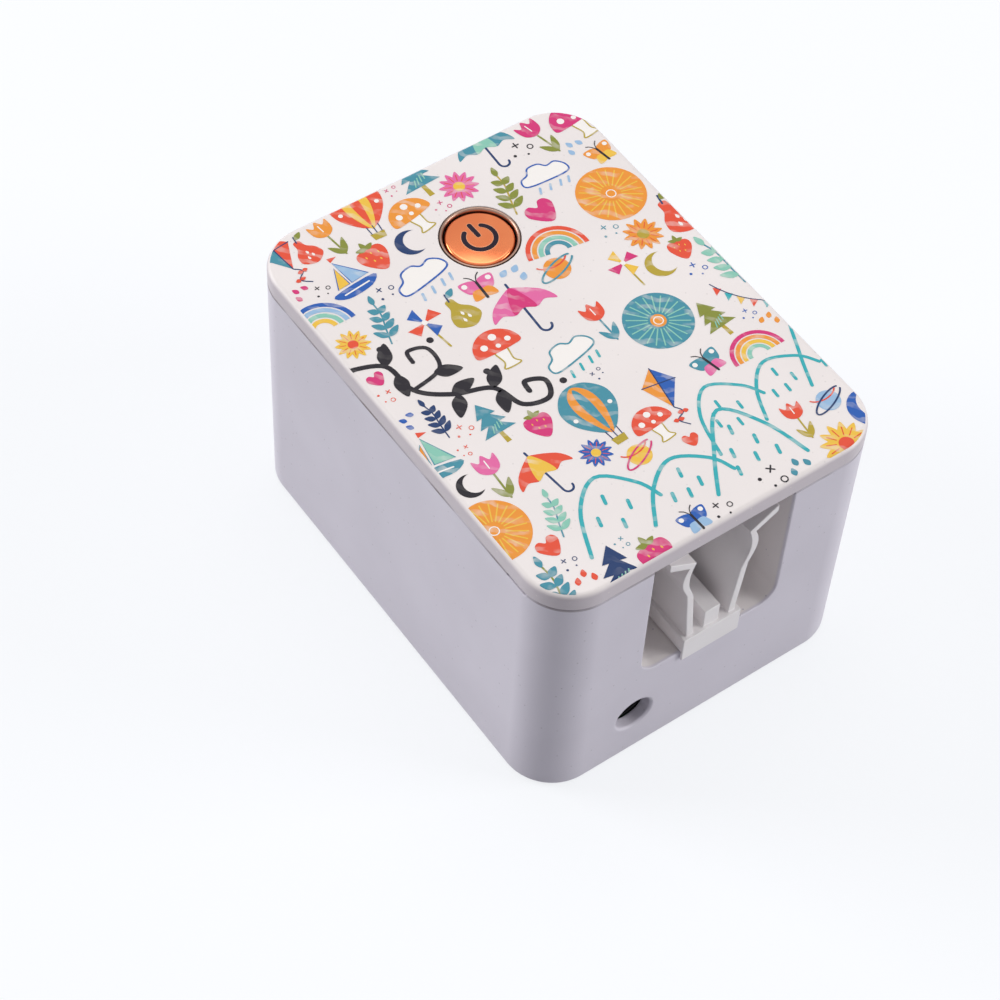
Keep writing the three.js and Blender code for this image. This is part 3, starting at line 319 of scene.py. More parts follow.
def product(first, *others):
    for other in others:
        first = reckon("MULTIPLY", first, other)
    return first


def below(value, limit, spread):
    """One under a limit in millimetres, nought above it, with a soft step of that spread; above() is its reverse."""
    return levels(value, 1.0, 0.0, (limit - spread) * MM, limit * MM)


def above(value, limit, spread):
    return levels(value, 0.0, 1.0, (limit - spread) * MM, limit * MM)


# How far the painted warm bounce light of the chamber and slot reaches, and where the painted shade lies along the
# seam
INSIDE_HALF_WIDTH, INSIDE_HALF_LENGTH, INSIDE_FLOOR, INSIDE_TOP = 17.8, 36.3, 15.0, 42.4
SEAM_SHADE_LOW, SEAM_SHADE_HIGH, SEAM_SHADE_HALF_LENGTH = 42.42, 42.63, 36.56


def shell_with_painted_light(place, colour):
    """Painted light on the housing: warmer and paler in the chamber and slot as a painted warm bounce light, and
    darker along the lid's seam as a painted shade.
    """
    x, y, height = add(place, "SeparateXYZ", {"Vector": place}).outputs
    x, y = reckon("ABSOLUTE", x), reckon("ABSOLUTE", y)
    # Painted warm bounce light: the walls of the chamber and slot are paler and warmer
    inside = product(below(x, INSIDE_HALF_WIDTH, 0.2), below(y, INSIDE_HALF_LENGTH, 0.4),
                     below(height, INSIDE_TOP, 0.2), above(height, INSIDE_FLOOR, 0.5))
    colour = blend(inside, colour, linear("#EAE4E4"))
    # Painted shade in the seam under the lid, darker in patches along its length
    painted_seam_shade = product(above(height, SEAM_SHADE_LOW, 0.12), below(height, SEAM_SHADE_HIGH, 0.02),
                   below(y, SEAM_SHADE_HALF_LENGTH, 0.03), levels(noise(place, 9), 0.15, 0.9, 0.35, 0.65))
    return blend(painted_seam_shade, colour, linear("#766A6D"))


def bare_rim(place, colour):
    """The printed cream ground ends where the lid's edge rounds over; the rim below is the bare shell plastic."""
    height = add(place, "SeparateXYZ", {"Vector": place}).outputs["Z"]
    return blend(below(height, LID_TOP - 0.12, 0.5), colour, linear("#D0C7CD"))


def moulded_plastic(name, dark, pale, roughness, grain, depth, specks=None, tint=None, shine=0.5):
    """Moulded plastic: faint clouding from the melt, a fine grain from the mould and a few specks."""
    made, surface, place = new_material(name, IOR=1.5, Specular_IOR_Level=shine)
    colour = shades(noise(place, 18), (0.35, dark), (0.65, pale))
    if tint:
        colour = tint(place, colour)
    if specks:
        cells = add(place, "TexVoronoi", {"Vector": place, "Scale": 1 / (1.6 * MM)})
        near = levels(cells.outputs["Distance"], 1.0, 0.0, 0.05, 0.1)
        colour = blend(near, colour, linear(specks))
    fine = noise(place, grain, 3.0, 0.6)
    feed(surface, Base_Color=colour, Roughness=levels(fine, roughness - 0.06, roughness + 0.06))
    raised(surface, fine, depth)
    return made


def plating(name, dark, pale, roughness):
    """Plated metal: mirror-like, with faint uneven polish."""
    made, surface, place = new_material(name, Metallic=1.0)
    feed(surface, Base_Color=shades(noise(place, 6), (0.3, dark), (0.7, pale)),
         Roughness=levels(noise(place, 0.5, 4.0), roughness * 0.7, roughness * 1.3))
    raised(surface, noise(place, 1.5), 0.002)
    return made


# Moulded finishes: dark and pale shade, roughness, width and depth of the grain in millimetres
PLASTICS = {
    # ABS from a spark-eroded mould: cool white, matte, with a grain that just shows in raking light
    "abs_shell": ("#D8D3DE", "#DED9E4", 0.5, 0.35, 0.012, "#C4BFC9"),
    # The housing's ABS also carries a painted warm bounce light in the chamber and slot and a painted shade along the
    # lid's seam
    "abs_housing": ("#D8D3DE", "#DED9E4", 0.5, 0.35, 0.012, "#C4BFC9", shell_with_painted_light),
    "abs_inner": ("#DBD8DC", "#E3E0E4", 0.5, 0.35, 0.01),
    # ABS lid under a matte lacquer: warmer, smoother
    "lacquered_lid": ("#EEE6E4", "#F2EAE8", 0.42, 0.5, 0.006, "#E2DAD8", bare_rim),
    # Polypropylene clip: slightly waxy off-white
    "polypropylene": ("#F0EBEC", "#F6F2F3", 0.38, 0.6, 0.006),
    # Black housings of the switch, sensor and socket: fine and half matte
    "black_nylon": ("#1E1E21", "#27272A", 0.45, 0.3, 0.008),
    # Fired ceramic of the emitters and plunger: cream, dense
    "alumina": ("#EFE8D6", "#F5EFE0", 0.4, 0.3, 0.005),
    # Green lacquer of the boards: glossier than the plastics round it
    "solder_mask": ("#1F5A38", "#2B6B45", 0.3, 0.8, 0.01),
    # Foams: dull, with open cells
    "tape_foam": ("#E2E2E4", "#ECECED", 0.85, 0.4, 0.05),
    "grey_foam": ("#5E6066", "#73757B", 0.9, 0.5, 0.12),
    # Insulation of the wires: smooth, half gloss
    "red_vinyl": ("#A82520", "#B8302A", 0.4, 0.8, 0.004),
    "blue_vinyl": ("#25549E", "#2F62B0", 0.4, 0.8, 0.004),
    "yellow_vinyl": ("#D2AA32", "#DFBA44", 0.4, 0.8, 0.004),
    # Ink of the power mark: near black, with little shine
    "icon_ink": ("#281F2B", "#332A36", 0.35, 0.4, 0.003, None, None, 0.1),
}
# Plated and foil finishes: dark and pale shade, roughness. The cap is the brightest, its bezel brushed and browner.
PLATINGS = {
    "copper_plating": ("#E07C50", "#E98859", 0.13), "bronze_plating": ("#8F7365", "#A08476", 0.34),
    "zinc_plating": ("#AEB2B6", "#BEC1C5", 0.32), "nickel_plating": ("#C2C3C6", "#CECFD2", 0.2),
    "pouch_foil": ("#B9BBC0", "#C8CACE", 0.38), "copper_keyline": ("#F0A47A", "#F4B087", 0.2),
}


def quartz_pane():
    """Clear quartz, polished."""
    made, surface, place = new_material("quartz", IOR=1.46, Transmission_Weight=1.0)
    feed(surface, Base_Color=shades(noise(place, 20), (0.4, "#E6F2F8"), (0.6, "#EEF7FA")),
         Roughness=levels(noise(place, 2), 0.02, 0.06))
    return made


FINISHES = {name: moulded_plastic(name, *look) for name, look in PLASTICS.items()}
FINISHES.update((name, plating(name, *look)) for name, look in PLATINGS.items())
FINISHES["quartz"] = quartz_pane()

# What each piece that keeps its node's shape is made of, and how far its edges are softened
NODE_FINISH = {
    "button_retainer": ("zinc_plating", 0.08), "control_board": ("solder_mask", 0.06),
    "lamp_board": ("solder_mask", 0.06), "charging_board": ("solder_mask", 0.06),
    "switch_body": ("black_nylon", 0.15), "lid_sensor": ("black_nylon", 0.15),
    "charging_socket": ("black_nylon", 0.2), "switch_plunger": ("alumina", 0.1), "lamp_emitter": ("alumina", 0.1),
    "lamp_window": ("quartz", 0.15), "socket_pin": ("nickel_plating", 0.1), "battery_lead": ("red_vinyl", 0.0),
    "power_lead": ("blue_vinyl", 0.0), "lamp_lead": ("yellow_vinyl", 0.0), "switch_plate": ("abs_shell", 0.12),
    "back_cover": ("abs_shell", 0.2),
}


def body_block(inset, bottom_z, top_z, **rims):
    """A block with the box's plan, that far inside its outline."""
    return rounded_box((inset - WIDTH / 2, NEAR + inset, bottom_z), (WIDTH / 2 - inset, FAR - inset, top_z),
                       corner=CORNER - inset, **rims)


# Housing
POST_X, POST_Y, POST_RADIUS = 21.9, 30.9, 3.2
CORNERS = [(-POST_X, -POST_Y), (POST_X, -POST_Y), (POST_X, POST_Y), (-POST_X, POST_Y)]
SEATS = CORNERS[:2]
COVER_TOP = 3.2
MAGNET_POCKET, POCKET_FLOOR, POCKET_ROOF = 3.2, 40.3, 44.3
SEAT_RADIUS, SEAT_BOTTOM = 4.4, 39.1
PLATE_MIDDLE_Y = 24.85
CHAMBER_MIDDLE_Y = -5.3
LAMP_Z, LAMP_SCREW_Y = 31.0, (CHAMBER_MIDDLE_Y - 11, CHAMBER_MIDDLE_Y + 11)
BOSSES, BOSS_RADIUS, BOSS_BOTTOM = [(4.45, -28.9), (10.5, -28.9)], 2.2, 5.6
CHEEK_X, CHEEK = (PORT_X - 4.95, PORT_X + 3.75), 1.2
PEGS, PEG_HOLE = [(0, -32.35), (0, -27.95)], 1.65


def chamber(grow, top):
    low = Vector(CHAMBER_LOW) - Vector((grow, grow, grow))
    high = (CHAMBER_HIGH[0] + grow, CHAMBER_HIGH[1] + grow, top)
    return rounded_box(low, high, corner=CHAMBER_CORNER + grow, bottom=CHAMBER_FLOOR_EDGE + grow)


def slot_channel(grow, near, far, top):
    half = SLOT_HALF + grow
    low, high = (-half, -(top + SLOT_CORNER), near), (half, -(SLOT_FLOOR - grow), far)
    return turn_to(rounded_box(low, high, corner=SLOT_CORNER + grow), "Y", (0, 0, 0))


def knuckles(first, radius, grow=0.0):
    return [bar_along_x(radius, KNUCKLE_ENDS[i] + SEAM - grow, KNUCKLE_ENDS[i + 1] - SEAM + grow, HINGE_Y, HINGE_Z)
            for i in range(first, 5, 2)]


def pin_bore():
    return bar_along_x(PIN_BORE, KNUCKLE_ENDS[0] - OVER, KNUCKLE_ENDS[-1] + OVER, HINGE_Y, HINGE_Z)


def housing_inside():
    """The hollow under the deck, less what stands in it."""
    hollow = body_block(WALL, -OVER, DECK_UNDER)
    kept = [chamber(POCKET_WALL, DECK_TOP),
            slot_channel(POCKET_WALL, NEAR - OVER, CHAMBER_LOW[1] + POCKET_WALL, DECK_TOP)]
    kept += discs(POST_RADIUS, COVER_TOP + FIT, DECK_TOP, CORNERS)
    kept += discs(SEAT_RADIUS, SEAT_BOTTOM, DECK_TOP, SEATS)
    kept += discs(BOSS_RADIUS, BOSS_BOTTOM, SLOT_FLOOR, BOSSES)
    kept += [rounded_box((left, NEAR, BOSS_BOTTOM), (left + CHEEK, -30, 12.2)) for left in CHEEK_X]
    kept += [bar_along_x(1.5, -20.25, -18.3, y, LAMP_Z) for y in LAMP_SCREW_Y]
    return cut(hollow, *kept)


def port_cutter():
    wide = PORT_RADIUS + PORT_CHAMFER + OVER
    profile = [(0, -OVER), (wide, -OVER), (PORT_RADIUS, PORT_CHAMFER), (PORT_RADIUS, WALL + OVER), (0, WALL + OVER)]
    return turn_to(turned(profile, steps=64), "Y", (PORT_X, NEAR, PORT_Z))


def window_cutter(length, height, left, right):
    low = (-LAMP_Z - height / 2, CHAMBER_MIDDLE_Y - length / 2, left)
    high = (-LAMP_Z + height / 2, CHAMBER_MIDDLE_Y + length / 2, right)
    return turn_to(rounded_box(low, high, corner=1.0, steps=6), "X", (0, 0, 0))


def mouth_trim(side, radius=0.8, lap=0.01):
    """Sliver that rounds the deck's corner where the chamber opens into the slot."""
    x, y = side * SLOT_HALF, CHAMBER_LOW[1]
    left, right = sorted((x - side * lap, x + side * radius))
    corner = rounded_box((left, y - radius, SLOT_FLOOR), (right, y + lap, DECK_TOP + OVER))
    return cut(corner, disc(radius, SLOT_FLOOR - OVER, DECK_TOP + 2 * OVER, (x + side * radius, y - radius), 64))


def make_housing():
    """Outer walls, deck, chamber, slot and knuckles as one moulding."""
    shell = body_block(0, 0, DECK_TOP, top=0.4, bottom=0.5, steps=24, edge_steps=4)
    body = joined(cut(shell, housing_inside()), *knuckles(0, KNUCKLE_RADIUS))
    cutters = [chamber(0, DECK_TOP + OVER), slot_channel(0, NEAR - OVER, CHAMBER_LOW[1] + 2.5, DECK_TOP + OVER)]
    cutters += [mouth_trim(-1), mouth_trim(1)]
    cutters += discs(PEG_HOLE, 16, SLOT_FLOOR + OVER, PEGS)
    cutters += discs(1.35, 0, 11.65, CORNERS)
    cutters += discs(MAGNET_POCKET, POCKET_FLOOR, DECK_TOP + OVER, SEATS)
    cutters += discs(0.95, 4.35, 9.2, BOSSES)
    cutters += [window_cutter(14, 7, -20.1, -16.5), window_cutter(16.5, 9.5, -20.1, -17.95)]
    cutters += [bar_along_x(0.8, -21.5, -18.25, y, LAMP_Z) for y in LAMP_SCREW_Y]
    cutters += [rounded_box((-16, PLATE_MIDDLE_Y - 7.05, 39), (16, PLATE_MIDDLE_Y + 7.05, 43.65), corner=1.75),
                rounded_box((-17.65, PLATE_MIDDLE_Y - 8.7, 41), (17.65, PLATE_MIDDLE_Y + 8.7, 43.65), corner=2.5)]
    cutters += knuckles(1, KNUCKLE_RADIUS + KNUCKLE_GAP, KNUCKLE_GAP)
    thumb_notch = rounded_box((-28.5, -30, 42.2), (-26.8, -26, 43.65))
    cutters += [pin_bore(), port_cutter(), thumb_notch]
    finish_piece("moulded_housing", cut(body, *cutters), "abs_housing", "housing", edge=0.18)


# Spring clip
CLIP_HALF, CLIP_NEAR, CLIP_LENGTH = 4.9, -36.5, 12.3
CLIP_BLOCK_TOP, CLIP_BLOCK_BOTTOM = 21.9, 18.9


def swept_curve(start, bend, end, steps=10):
    """Points on a curve from start to end that bends towards a third point, start left out."""
    return [tuple((1 - t) ** 2 * a + 2 * t * (1 - t) * b + t * t * c for a, b, c in zip(start, bend, end))
            for t in (i / steps for i in range(1, steps + 1))]


def clip_half():
    """Right half of the clip's section, in X and Z: up the outer side of the arm and down its inner side."""
    outer = [(CLIP_HALF, CLIP_BLOCK_BOTTOM), (CLIP_HALF, CLIP_BLOCK_TOP), (4.15, CLIP_BLOCK_TOP), (5.15, 31.975)]
    outer += [(6.05, 34.19)]
    outer += swept_curve((6.05, 34.19), (6.75, 36.45), (5.55, 38.71))
    lip = [(9.0, 40.65), (9.0, 42.0)]
    inner = [(4.4, 39.29)] + swept_curve((4.4, 39.29), (5.6, 36.45), (4.9, 33.9))
    rib = [(4.0, 31.4), (3.0, CLIP_BLOCK_TOP), (1.3, CLIP_BLOCK_TOP), (1.3, 25.3)]
    return outer + lip + inner + rib


def extruded(outline, along):
    """A solid from an outline of points in space and the way that it is drawn out."""
    bm = bmesh.new()
    face = bm.faces.new([bm.verts.new(point) for point in outline])
    swept = bmesh.ops.extrude_face_region(bm, geom=[face])
    move(bm, along, [v for v in swept["geom"] if isinstance(v, bmesh.types.BMVert)])
    bmesh.ops.recalc_face_normals(bm, faces=bm.faces)
    return bm


def make_clip():
    """Arms, rib and block in one length, with the apron over the wall in front and two pegs below."""
    half = clip_half()
    section = half + [(-x, z) for x, z in reversed(half)]
    arms = extruded([(x, CLIP_NEAR, z) for x, z in section], (0, CLIP_LENGTH, 0))
    side = [(-37.05, 17.25), (-36.65, 17.25), (-36.65, CLIP_BLOCK_BOTTOM), (CLIP_NEAR, CLIP_BLOCK_BOTTOM),
            (CLIP_NEAR, CLIP_BLOCK_TOP), (-37.05, CLIP_BLOCK_TOP)]
    apron = extruded([(-CLIP_HALF, y, z) for y, z in side], (2 * CLIP_HALF, 0, 0))
    peg = [(0, 15.7), (1.05, 15.7), (1.75, 16.8), (1.4, 16.8), (1.4, 20.4), (0, 20.4)]
    body = joined(arms, apron, *[turned(peg, place, SMALL_STEPS) for place in PEGS])
    finish_piece("spring_clip", body, "polypropylene", "brush_clip", edge=0.12)


# Lid
def make_lid():
    """Cover with a rounded top edge, its recess, magnet seats, button hole and knuckles."""
    plate = body_block(0, LID_BOTTOM, LID_TOP, top=LID_EDGE, bottom=0.12, steps=24)
    recess = body_block(LID_RIM, LID_BOTTOM - OVER, LID_RECESS_TOP)
    hollow = cut(recess, *discs(SEAT_RADIUS, LID_BOTTOM - 2 * OVER, HEIGHT, SEATS))
    pockets = discs(MAGNET_POCKET, LID_BOTTOM - OVER, POCKET_ROOF, SEATS)
    hole = disc(BUTTON_HOLE, LID_BOTTOM - OVER, HEIGHT + OVER, BUTTON_PLACE, ROUND_STEPS)
    shell = cut(plate, hollow, *pockets, hole, *knuckles(0, KNUCKLE_RADIUS + KNUCKLE_GAP, KNUCKLE_GAP))
    body = cut(joined(shell, *knuckles(1, KNUCKLE_RADIUS)), pin_bore())
    finish_piece("lacquered_cover", body, "lacquered_lid", "lid_cover", edge=0.14)


def make_liner():
    """Panel that closes the cover from below, open for the magnets' seats and the button."""
    panel = body_block(LID_RIM + FIT, LID_BOTTOM, LINER_TOP, bottom=0.3)
    body = cut(panel, *discs(SEAT_RADIUS + FIT, LID_BOTTOM - OVER, HEIGHT, SEATS),
               disc(1.7, 43.15, HEIGHT, (BUTTON_X, 29.8)),
               disc(5.9, LID_BOTTOM - OVER, HEIGHT, BUTTON_PLACE, ROUND_STEPS),
               disc(6.85, 43.45, HEIGHT, BUTTON_PLACE, ROUND_STEPS))
    finish_piece("inner_liner", body, "abs_inner", "lid_liner", edge=0.1)


# Button
def make_bezel():
    profile = [(BEZEL_BORE, 42.95), (BEZEL_RADIUS, 42.95), (BEZEL_RADIUS, 43.7), (6.6, 43.7), (6.6, LINER_TOP),
               (BEZEL_RADIUS, LINER_TOP), (BEZEL_RADIUS, 45.68), (5.61, 45.77), (5.53, HEIGHT), (5.46, HEIGHT),
               (5.36, 45.75), (5.27, 45.62), (5.2, 45.4), (BEZEL_BORE, 45.15)]
    finish_piece("plated_bezel", turned(profile, BUTTON_PLACE), "bronze_plating", "button_bezel")


def cap_height(radius):
    """Height of the cap's domed face."""
    return BUTTON_TOP - BUTTON_CROWN * (radius / (BUTTON_RADIUS - BUTTON_EDGE)) ** 2


def make_button():
    flat = BUTTON_RADIUS - BUTTON_EDGE
    side_top = BUTTON_TOP - BUTTON_CROWN - BUTTON_EDGE
    stem = [(0, 39.7), (1.7, 39.7), (1.9, 39.9), (1.9, 40.425), (1.45, 40.425), (1.45, 41.175), (1.9, 41.175),
            (1.9, 43.4), (BUTTON_RADIUS, 43.4)]
    rim = [(flat + BUTTON_EDGE * cos(a), side_top + BUTTON_EDGE * sin(a))
           for a in (pi / 2 * i / 10 for i in range(11))]
    dome = [(r, cap_height(r)) for r in (flat * (1 - i / 8) for i in range(1, 9))]
    bm = turned(stem + rim + dome, BUTTON_PLACE)
    finish_piece("plated_button", bm, "copper_plating", "power_button", angle=50)


# Inner pieces
def family(node):
    """A node's name without its number."""
    return node.rsplit("_", 1)[0] if node[-1].isdigit() else node


def corners(node):
    return [Vector(corner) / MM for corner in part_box(node)]


def make_soft_edged(node):
    """The node's own solid with its sharp edges softened."""
    bm = bmesh.new()
    bm.from_mesh(frame["nodes"][node].data)
    bmesh.ops.scale(bm, vec=(1 / MM, 1 / MM, 1 / MM), verts=bm.verts)
    bmesh.ops.remove_doubles(bm, verts=bm.verts, dist=0.001)
    finish, edge = NODE_FINISH[family(node)]
    finish_piece(node + "_finished", bm, finish, node, edge=edge, clamp=True)


def round_room(node, axis):
    """Where a round node starts along its axis, its radius and its length."""
    low, high = corners(node)
    along = "XYZ".index(axis)
    place = (low + high) / 2
    place[along] = low[along]
    return place, (high - low)[(along + 1) % 3] / 2, (high - low)[along]


def make_turned_part(node, finish, axis, chamfer):
    """A plated disc or pin with chamfered ends, along an axis."""
    place, radius, length = round_room(node, axis)
    profile = [(0, 0), (radius - chamfer, 0), (radius, chamfer), (radius, length - chamfer),
               (radius - chamfer, length), (0, length)]
    finish_piece(node + "_plated", turn_to(turned(profile, steps=SMALL_STEPS), axis, place), finish, node)


def make_screw(node, axis, head, shank, pitch):
    """A screw with its head at the low end: pan or sunk head, cross recess, thread and tip."""
    place, radius, length = round_room(node, axis)
    root = 0.78 * shank
    sunk = head > 1
    profile = [(0, 0), (radius, 0), (radius, 0.1)] if sunk else [
        (0, 0), (0.6 * radius, 0), (0.86 * radius, 0.12), (radius, 0.35), (radius, head)]
    profile += [(root, head), (root, head + pitch)]
    start, turns = head + pitch, int((length - head - 2 * pitch - shank) / pitch)
    for i in range(turns):
        profile += [(shank, start + (i + 0.45) * pitch), (shank, start + (i + 0.55) * pitch),
                    (root, start + (i + 1) * pitch)]
    profile.append((0, length))
    wide, narrow, depth = 0.62 * radius, 0.13 * radius, 0.6 * head
    recess = [rounded_box((-x, -y, -OVER), (x, y, depth)) for x, y in ((wide, narrow), (narrow, wide))]
    recess.append(turned([(0, -OVER), (0.36 * radius, -OVER), (0.3 * radius, 0), (0.1 * radius, depth), (0, depth)],
                         steps=12))
    bm = turn_to(cut(turned(profile, steps=SMALL_STEPS), *recess), axis, place)
    finish_piece(node + "_crosshead", bm, "zinc_plating", node)


def make_pad(node, finish, corner, rim):
    """A die-cut foam pad with rounded corners and a soft rim."""
    low, high = corners(node)
    bm = rounded_box(low, high, corner=corner, top=rim, bottom=rim)
    piece = finish_piece(node + "_die_cut", bm, finish, node)


def make_battery():
    """A pouch cell: a rounded pillow, with the fold of its foil along both sides."""
    low, high = corners("battery")
    cell = rounded_box(low + Vector((0.6, 0, 0)), high - Vector((0.6, 0, 0)), corner=1.6, top=1.3, bottom=1.3)
    fold = Vector((0.0, 1.2, 2.6))
    flaps = rounded_box(low + fold, high - fold, corner=0.5, top=0.2, bottom=0.2, steps=4, edge_steps=2)
    finish_piece("battery_pouch", joined(cell, flaps), "pouch_foil", "battery", edge=0.1)


def make_inner_pieces():
    for node in frame["nodes"]:
        if family(node) in NODE_FINISH:
            make_soft_edged(node)
    for node in ("deck_magnet_1", "deck_magnet_2", "lid_magnet_1", "lid_magnet_2"):
        make_turned_part(node, "nickel_plating", "Z", 0.25)
    make_turned_part("sensor_magnet", "nickel_plating", "Z", 0.12)
    make_turned_part("hinge_pin", "zinc_plating", "X", 0.15)
    for i in range(1, 5):
        make_screw(f"back_screw_{i}", "Z", 1.2, 1.2, 0.8)
    for i in (1, 2):
        make_screw(f"control_board_screw_{i}", "Z", 0.7, 0.8, 0.45)
        make_screw(f"charging_board_screw_{i}", "Z", 0.7, 0.8, 0.45)
        make_screw(f"lamp_board_screw_{i}", "X", 0.6, 0.65, 0.4)
    make_pad("wall_pad", "tape_foam", 5.0, 0.25)
    make_pad("battery_foam", "grey_foam", 1.0, 0.5)
    make_battery()


# Flat printed shapes
def curve_through(points, closed=True, steps=6):
    """Points on a smooth line through the given ones."""
    count = len(points)
    made = []
    for i in range(count if closed else count - 1):
        before, here, there, after = [
            points[k % count] if closed else points[min(max(k, 0), count - 1)] for k in (i - 1, i, i + 1, i + 2)]
        for j in range(steps):
            t = j / steps
            made.append(tuple(
                0.5 * (2 * b + (c - a) * t + (2 * a - 5 * b + 4 * c - d) * t * t + (3 * b - a - 3 * c + d) * t ** 3)
                for a, b, c, d in zip(before, here, there, after)))
    return made if closed else made + [points[-1]]


def arc(radius, first, last, steps=24, middle=(0.0, 0.0), squeeze=1.0):
    """Points on an arc between two angles in degrees."""
    angles = [radians(first + (last - first) * i / steps) for i in range(steps + 1)]
    return [(middle[0] + radius * cos(a), middle[1] + squeeze * radius * sin(a)) for a in angles]


def round_spot(x, y, radius, squeeze=1.0, steps=20):
    return arc(radius, 0, 360 * (1 - 1 / steps), steps - 1, (x, y), squeeze)


def stroke(points, width, closed=False, round_ends=True):
    """Four-sided pieces of a line of one width, with round ends."""
    count = len(points)
    sides = []
    for i, here in enumerate(points):
        before = points[(i - 1) % count] if closed or i else here
        after = points[(i + 1) % count] if closed or i < count - 1 else here
        along = Vector((after[0] - before[0], after[1] - before[1])).normalized() * width / 2
        sides.append(((here[0] - along.y, here[1] + along.x), (here[0] + along.y, here[1] - along.x)))
    pairs = list(zip(sides, sides[1:])) + ([(sides[-1], sides[0])] if closed else [])
    quads = [[a[1], b[1], b[0], a[0]] for a, b in pairs]
    if round_ends and not closed:
        quads += [round_spot(*points[0], width / 2, steps=10), round_spot(*points[-1], width / 2, steps=10)]
    return quads


def strokes(lines, width):
    return [piece for line in lines for piece in stroke(line, width)]


def drawn(points, width, steps=6):
    """A smooth open line of one width."""
    return stroke(curve_through(points, closed=False, steps=steps), width)


def mirrored(left, low=(), high=(), steps=6):
    """A smooth outline, alike left and right, from its left side, with a point low or high in the middle if given."""
    return curve_through([*low, *left, *high, *((-x, y) for x, y in reversed(left))], steps=steps)


def rays(inner, outer, count, width):
    """Short lines that run out from a ring to another."""
    return strokes([[(inner * cos(a), inner * sin(a)), (outer * cos(a), outer * sin(a))]
                    for a in (2 * pi * i / count for i in range(count))], width)


def lay_flat(bm, outline, material_index, height):
    """Adds one flat face with its face up, at a height or on a surface given by a function of its place."""
    at = height if callable(height) else (lambda x, y: height)
    loop = [bm.verts.new((x, y, at(x, y))) for x, y in outline]
    edges = [bm.edges.new((a, b)) for a, b in zip(loop, loop[1:] + loop[:1])]
    made = bmesh.ops.triangle_fill(bm, edges=edges, use_beauty=True)["geom"]
    for face in (f for f in made if isinstance(f, bmesh.types.BMFace)):
        face.material_index = material_index
        face.normal_update()
        if face.normal.z < 0:
            face.normal_flip()


def make_icon():
    """Power mark on the cap: an open ring and a bar, each in a pale keyline."""
    for name, finish, extra, lift in (("icon_keyline", "copper_keyline", 0.14, 0.006),
                                      ("icon_mark", "icon_ink", 0.0, 0.014)):
        bm = bmesh.new()
        ring, bar = arc(2.27, 128, 412, 40), [(0, 2.62 - 2.25 * i / 6) for i in range(7)]
        for line in (ring, bar):
            for outline in stroke(line, 0.72 + extra):
                lay_flat(bm, outline, 0, lambda x, y: cap_height(hypot(x, y)) + lift)
        move(bm, (*BUTTON_PLACE, 0))
        finish_piece(name, bm, finish, "power_button", stands_for=False)


# Printed motifs: each is a list of ink, layer and outlines, about its own middle, in millimetres.
INKS = {
    "teal": "#4C93A6", "aqua": "#3DB0B8", "mint": "#8FCBB8", "sky": "#9DBFE0", "cobalt": "#3061B4",
    "navy": "#283F6C", "coral": "#E9573F", "orange": "#F19A3E", "yellow": "#F3C54E", "mustard": "#BBA43E",
    "olive": "#8A9040", "pink": "#E86FA8", "magenta": "#D93D7C", "black": "#242027", "cream": "#FBF6F2",
}
INK_NAMES = list(INKS)
LAYER = 0.0085


def petal(length, width, turn=0.0, middle=(0.0, 0.0)):
    """A pointed oval that starts at its middle point and runs out at an angle."""
    half = [(0.0, 0.0), (0.3 * length, 0.5 * width), (0.62 * length, 0.46 * width), (length, 0.0),
            (0.62 * length, -0.46 * width), (0.3 * length, -0.5 * width)]
    c, s = cos(radians(turn)), sin(radians(turn))
    return [(middle[0] + c * x - s * y, middle[1] + s * x + c * y) for x, y in curve_through(half, steps=4)]


def balloon(main="teal", bands="orange"):
    top = mirrored([(-1.5, -2.9), (-3.6, -0.2), (-3.9, 2.6), (-2.2, 4.9)], [(0, -3.6)], [(0, 5.6)])
    band = mirrored([(-0.5, -3.4), (-1.9, 0.4), (-1.7, 3.6)], high=[(0, 5.2)])
    core = mirrored([(-0.7, 0.6), (-0.6, 3.4)], [(0, -3.2)], [(0, 4.8)])
    basket = [(-0.9, -5.9), (0.9, -5.9), (1.1, -4.7), (-1.1, -4.7)]
    ropes = strokes([[(x, -3.3), (x * 0.9, -4.7)] for x in (-0.9, 0, 0.9)], 0.16)
    return [(main, 1, [top]), (bands, 2, [band]), (main, 3, [core]), ("mustard", 1, [basket]),
            ("navy", 2, ropes), ("cream", 3, [round_spot(x, 0.4, 0.34) for x in (-2.9, 2.9)])]


def umbrella(first="coral", second="yellow"):
    def panel(left, right):
        return curve_through([(left, 0), (left * 0.75, 2.2), (0, 4.2), (right * 0.75, 2.2), (right, 0),
                              ((left + right) / 2, 0.55)], steps=5)
    handle = stroke([(0, 4.9), (0, -3.2)] + arc(0.8, 180, 360, 10, (0.8, -3.2)), 0.34)
    return [(first, 1, [panel(-4.6, -1.5), panel(1.5, 4.6)]), (second, 2, [panel(-1.6, 1.6)]), ("navy", 0, handle)]


def cloud(line="cobalt", rain="sky"):
    edge = curve_through([(-4.1, -1.2), (-4.3, 0.4), (-2.8, 1.1), (-1.9, 2.4), (0.1, 2.5), (1.3, 1.5), (3.0, 1.7),
                          (4.3, 0.3), (3.9, -1.2), (0, -1.5)])
    drops = strokes([[(x, -2.4), (x - 0.5, -3.5)] for x in (-2.4, -0.4, 1.6, 3.2)], 0.42)
    return [("cream", 0, [edge]), (line, 1, stroke(edge, 0.3, closed=True)), (rain, 1, drops)]


def rainbow(*inks):
    inks = inks or ("coral", "orange", "mint", "teal")
    return [(ink, 1, stroke(arc(4.6 - 0.95 * i, 0, 180, 24), 0.72, round_ends=False)) for i, ink in enumerate(inks)]


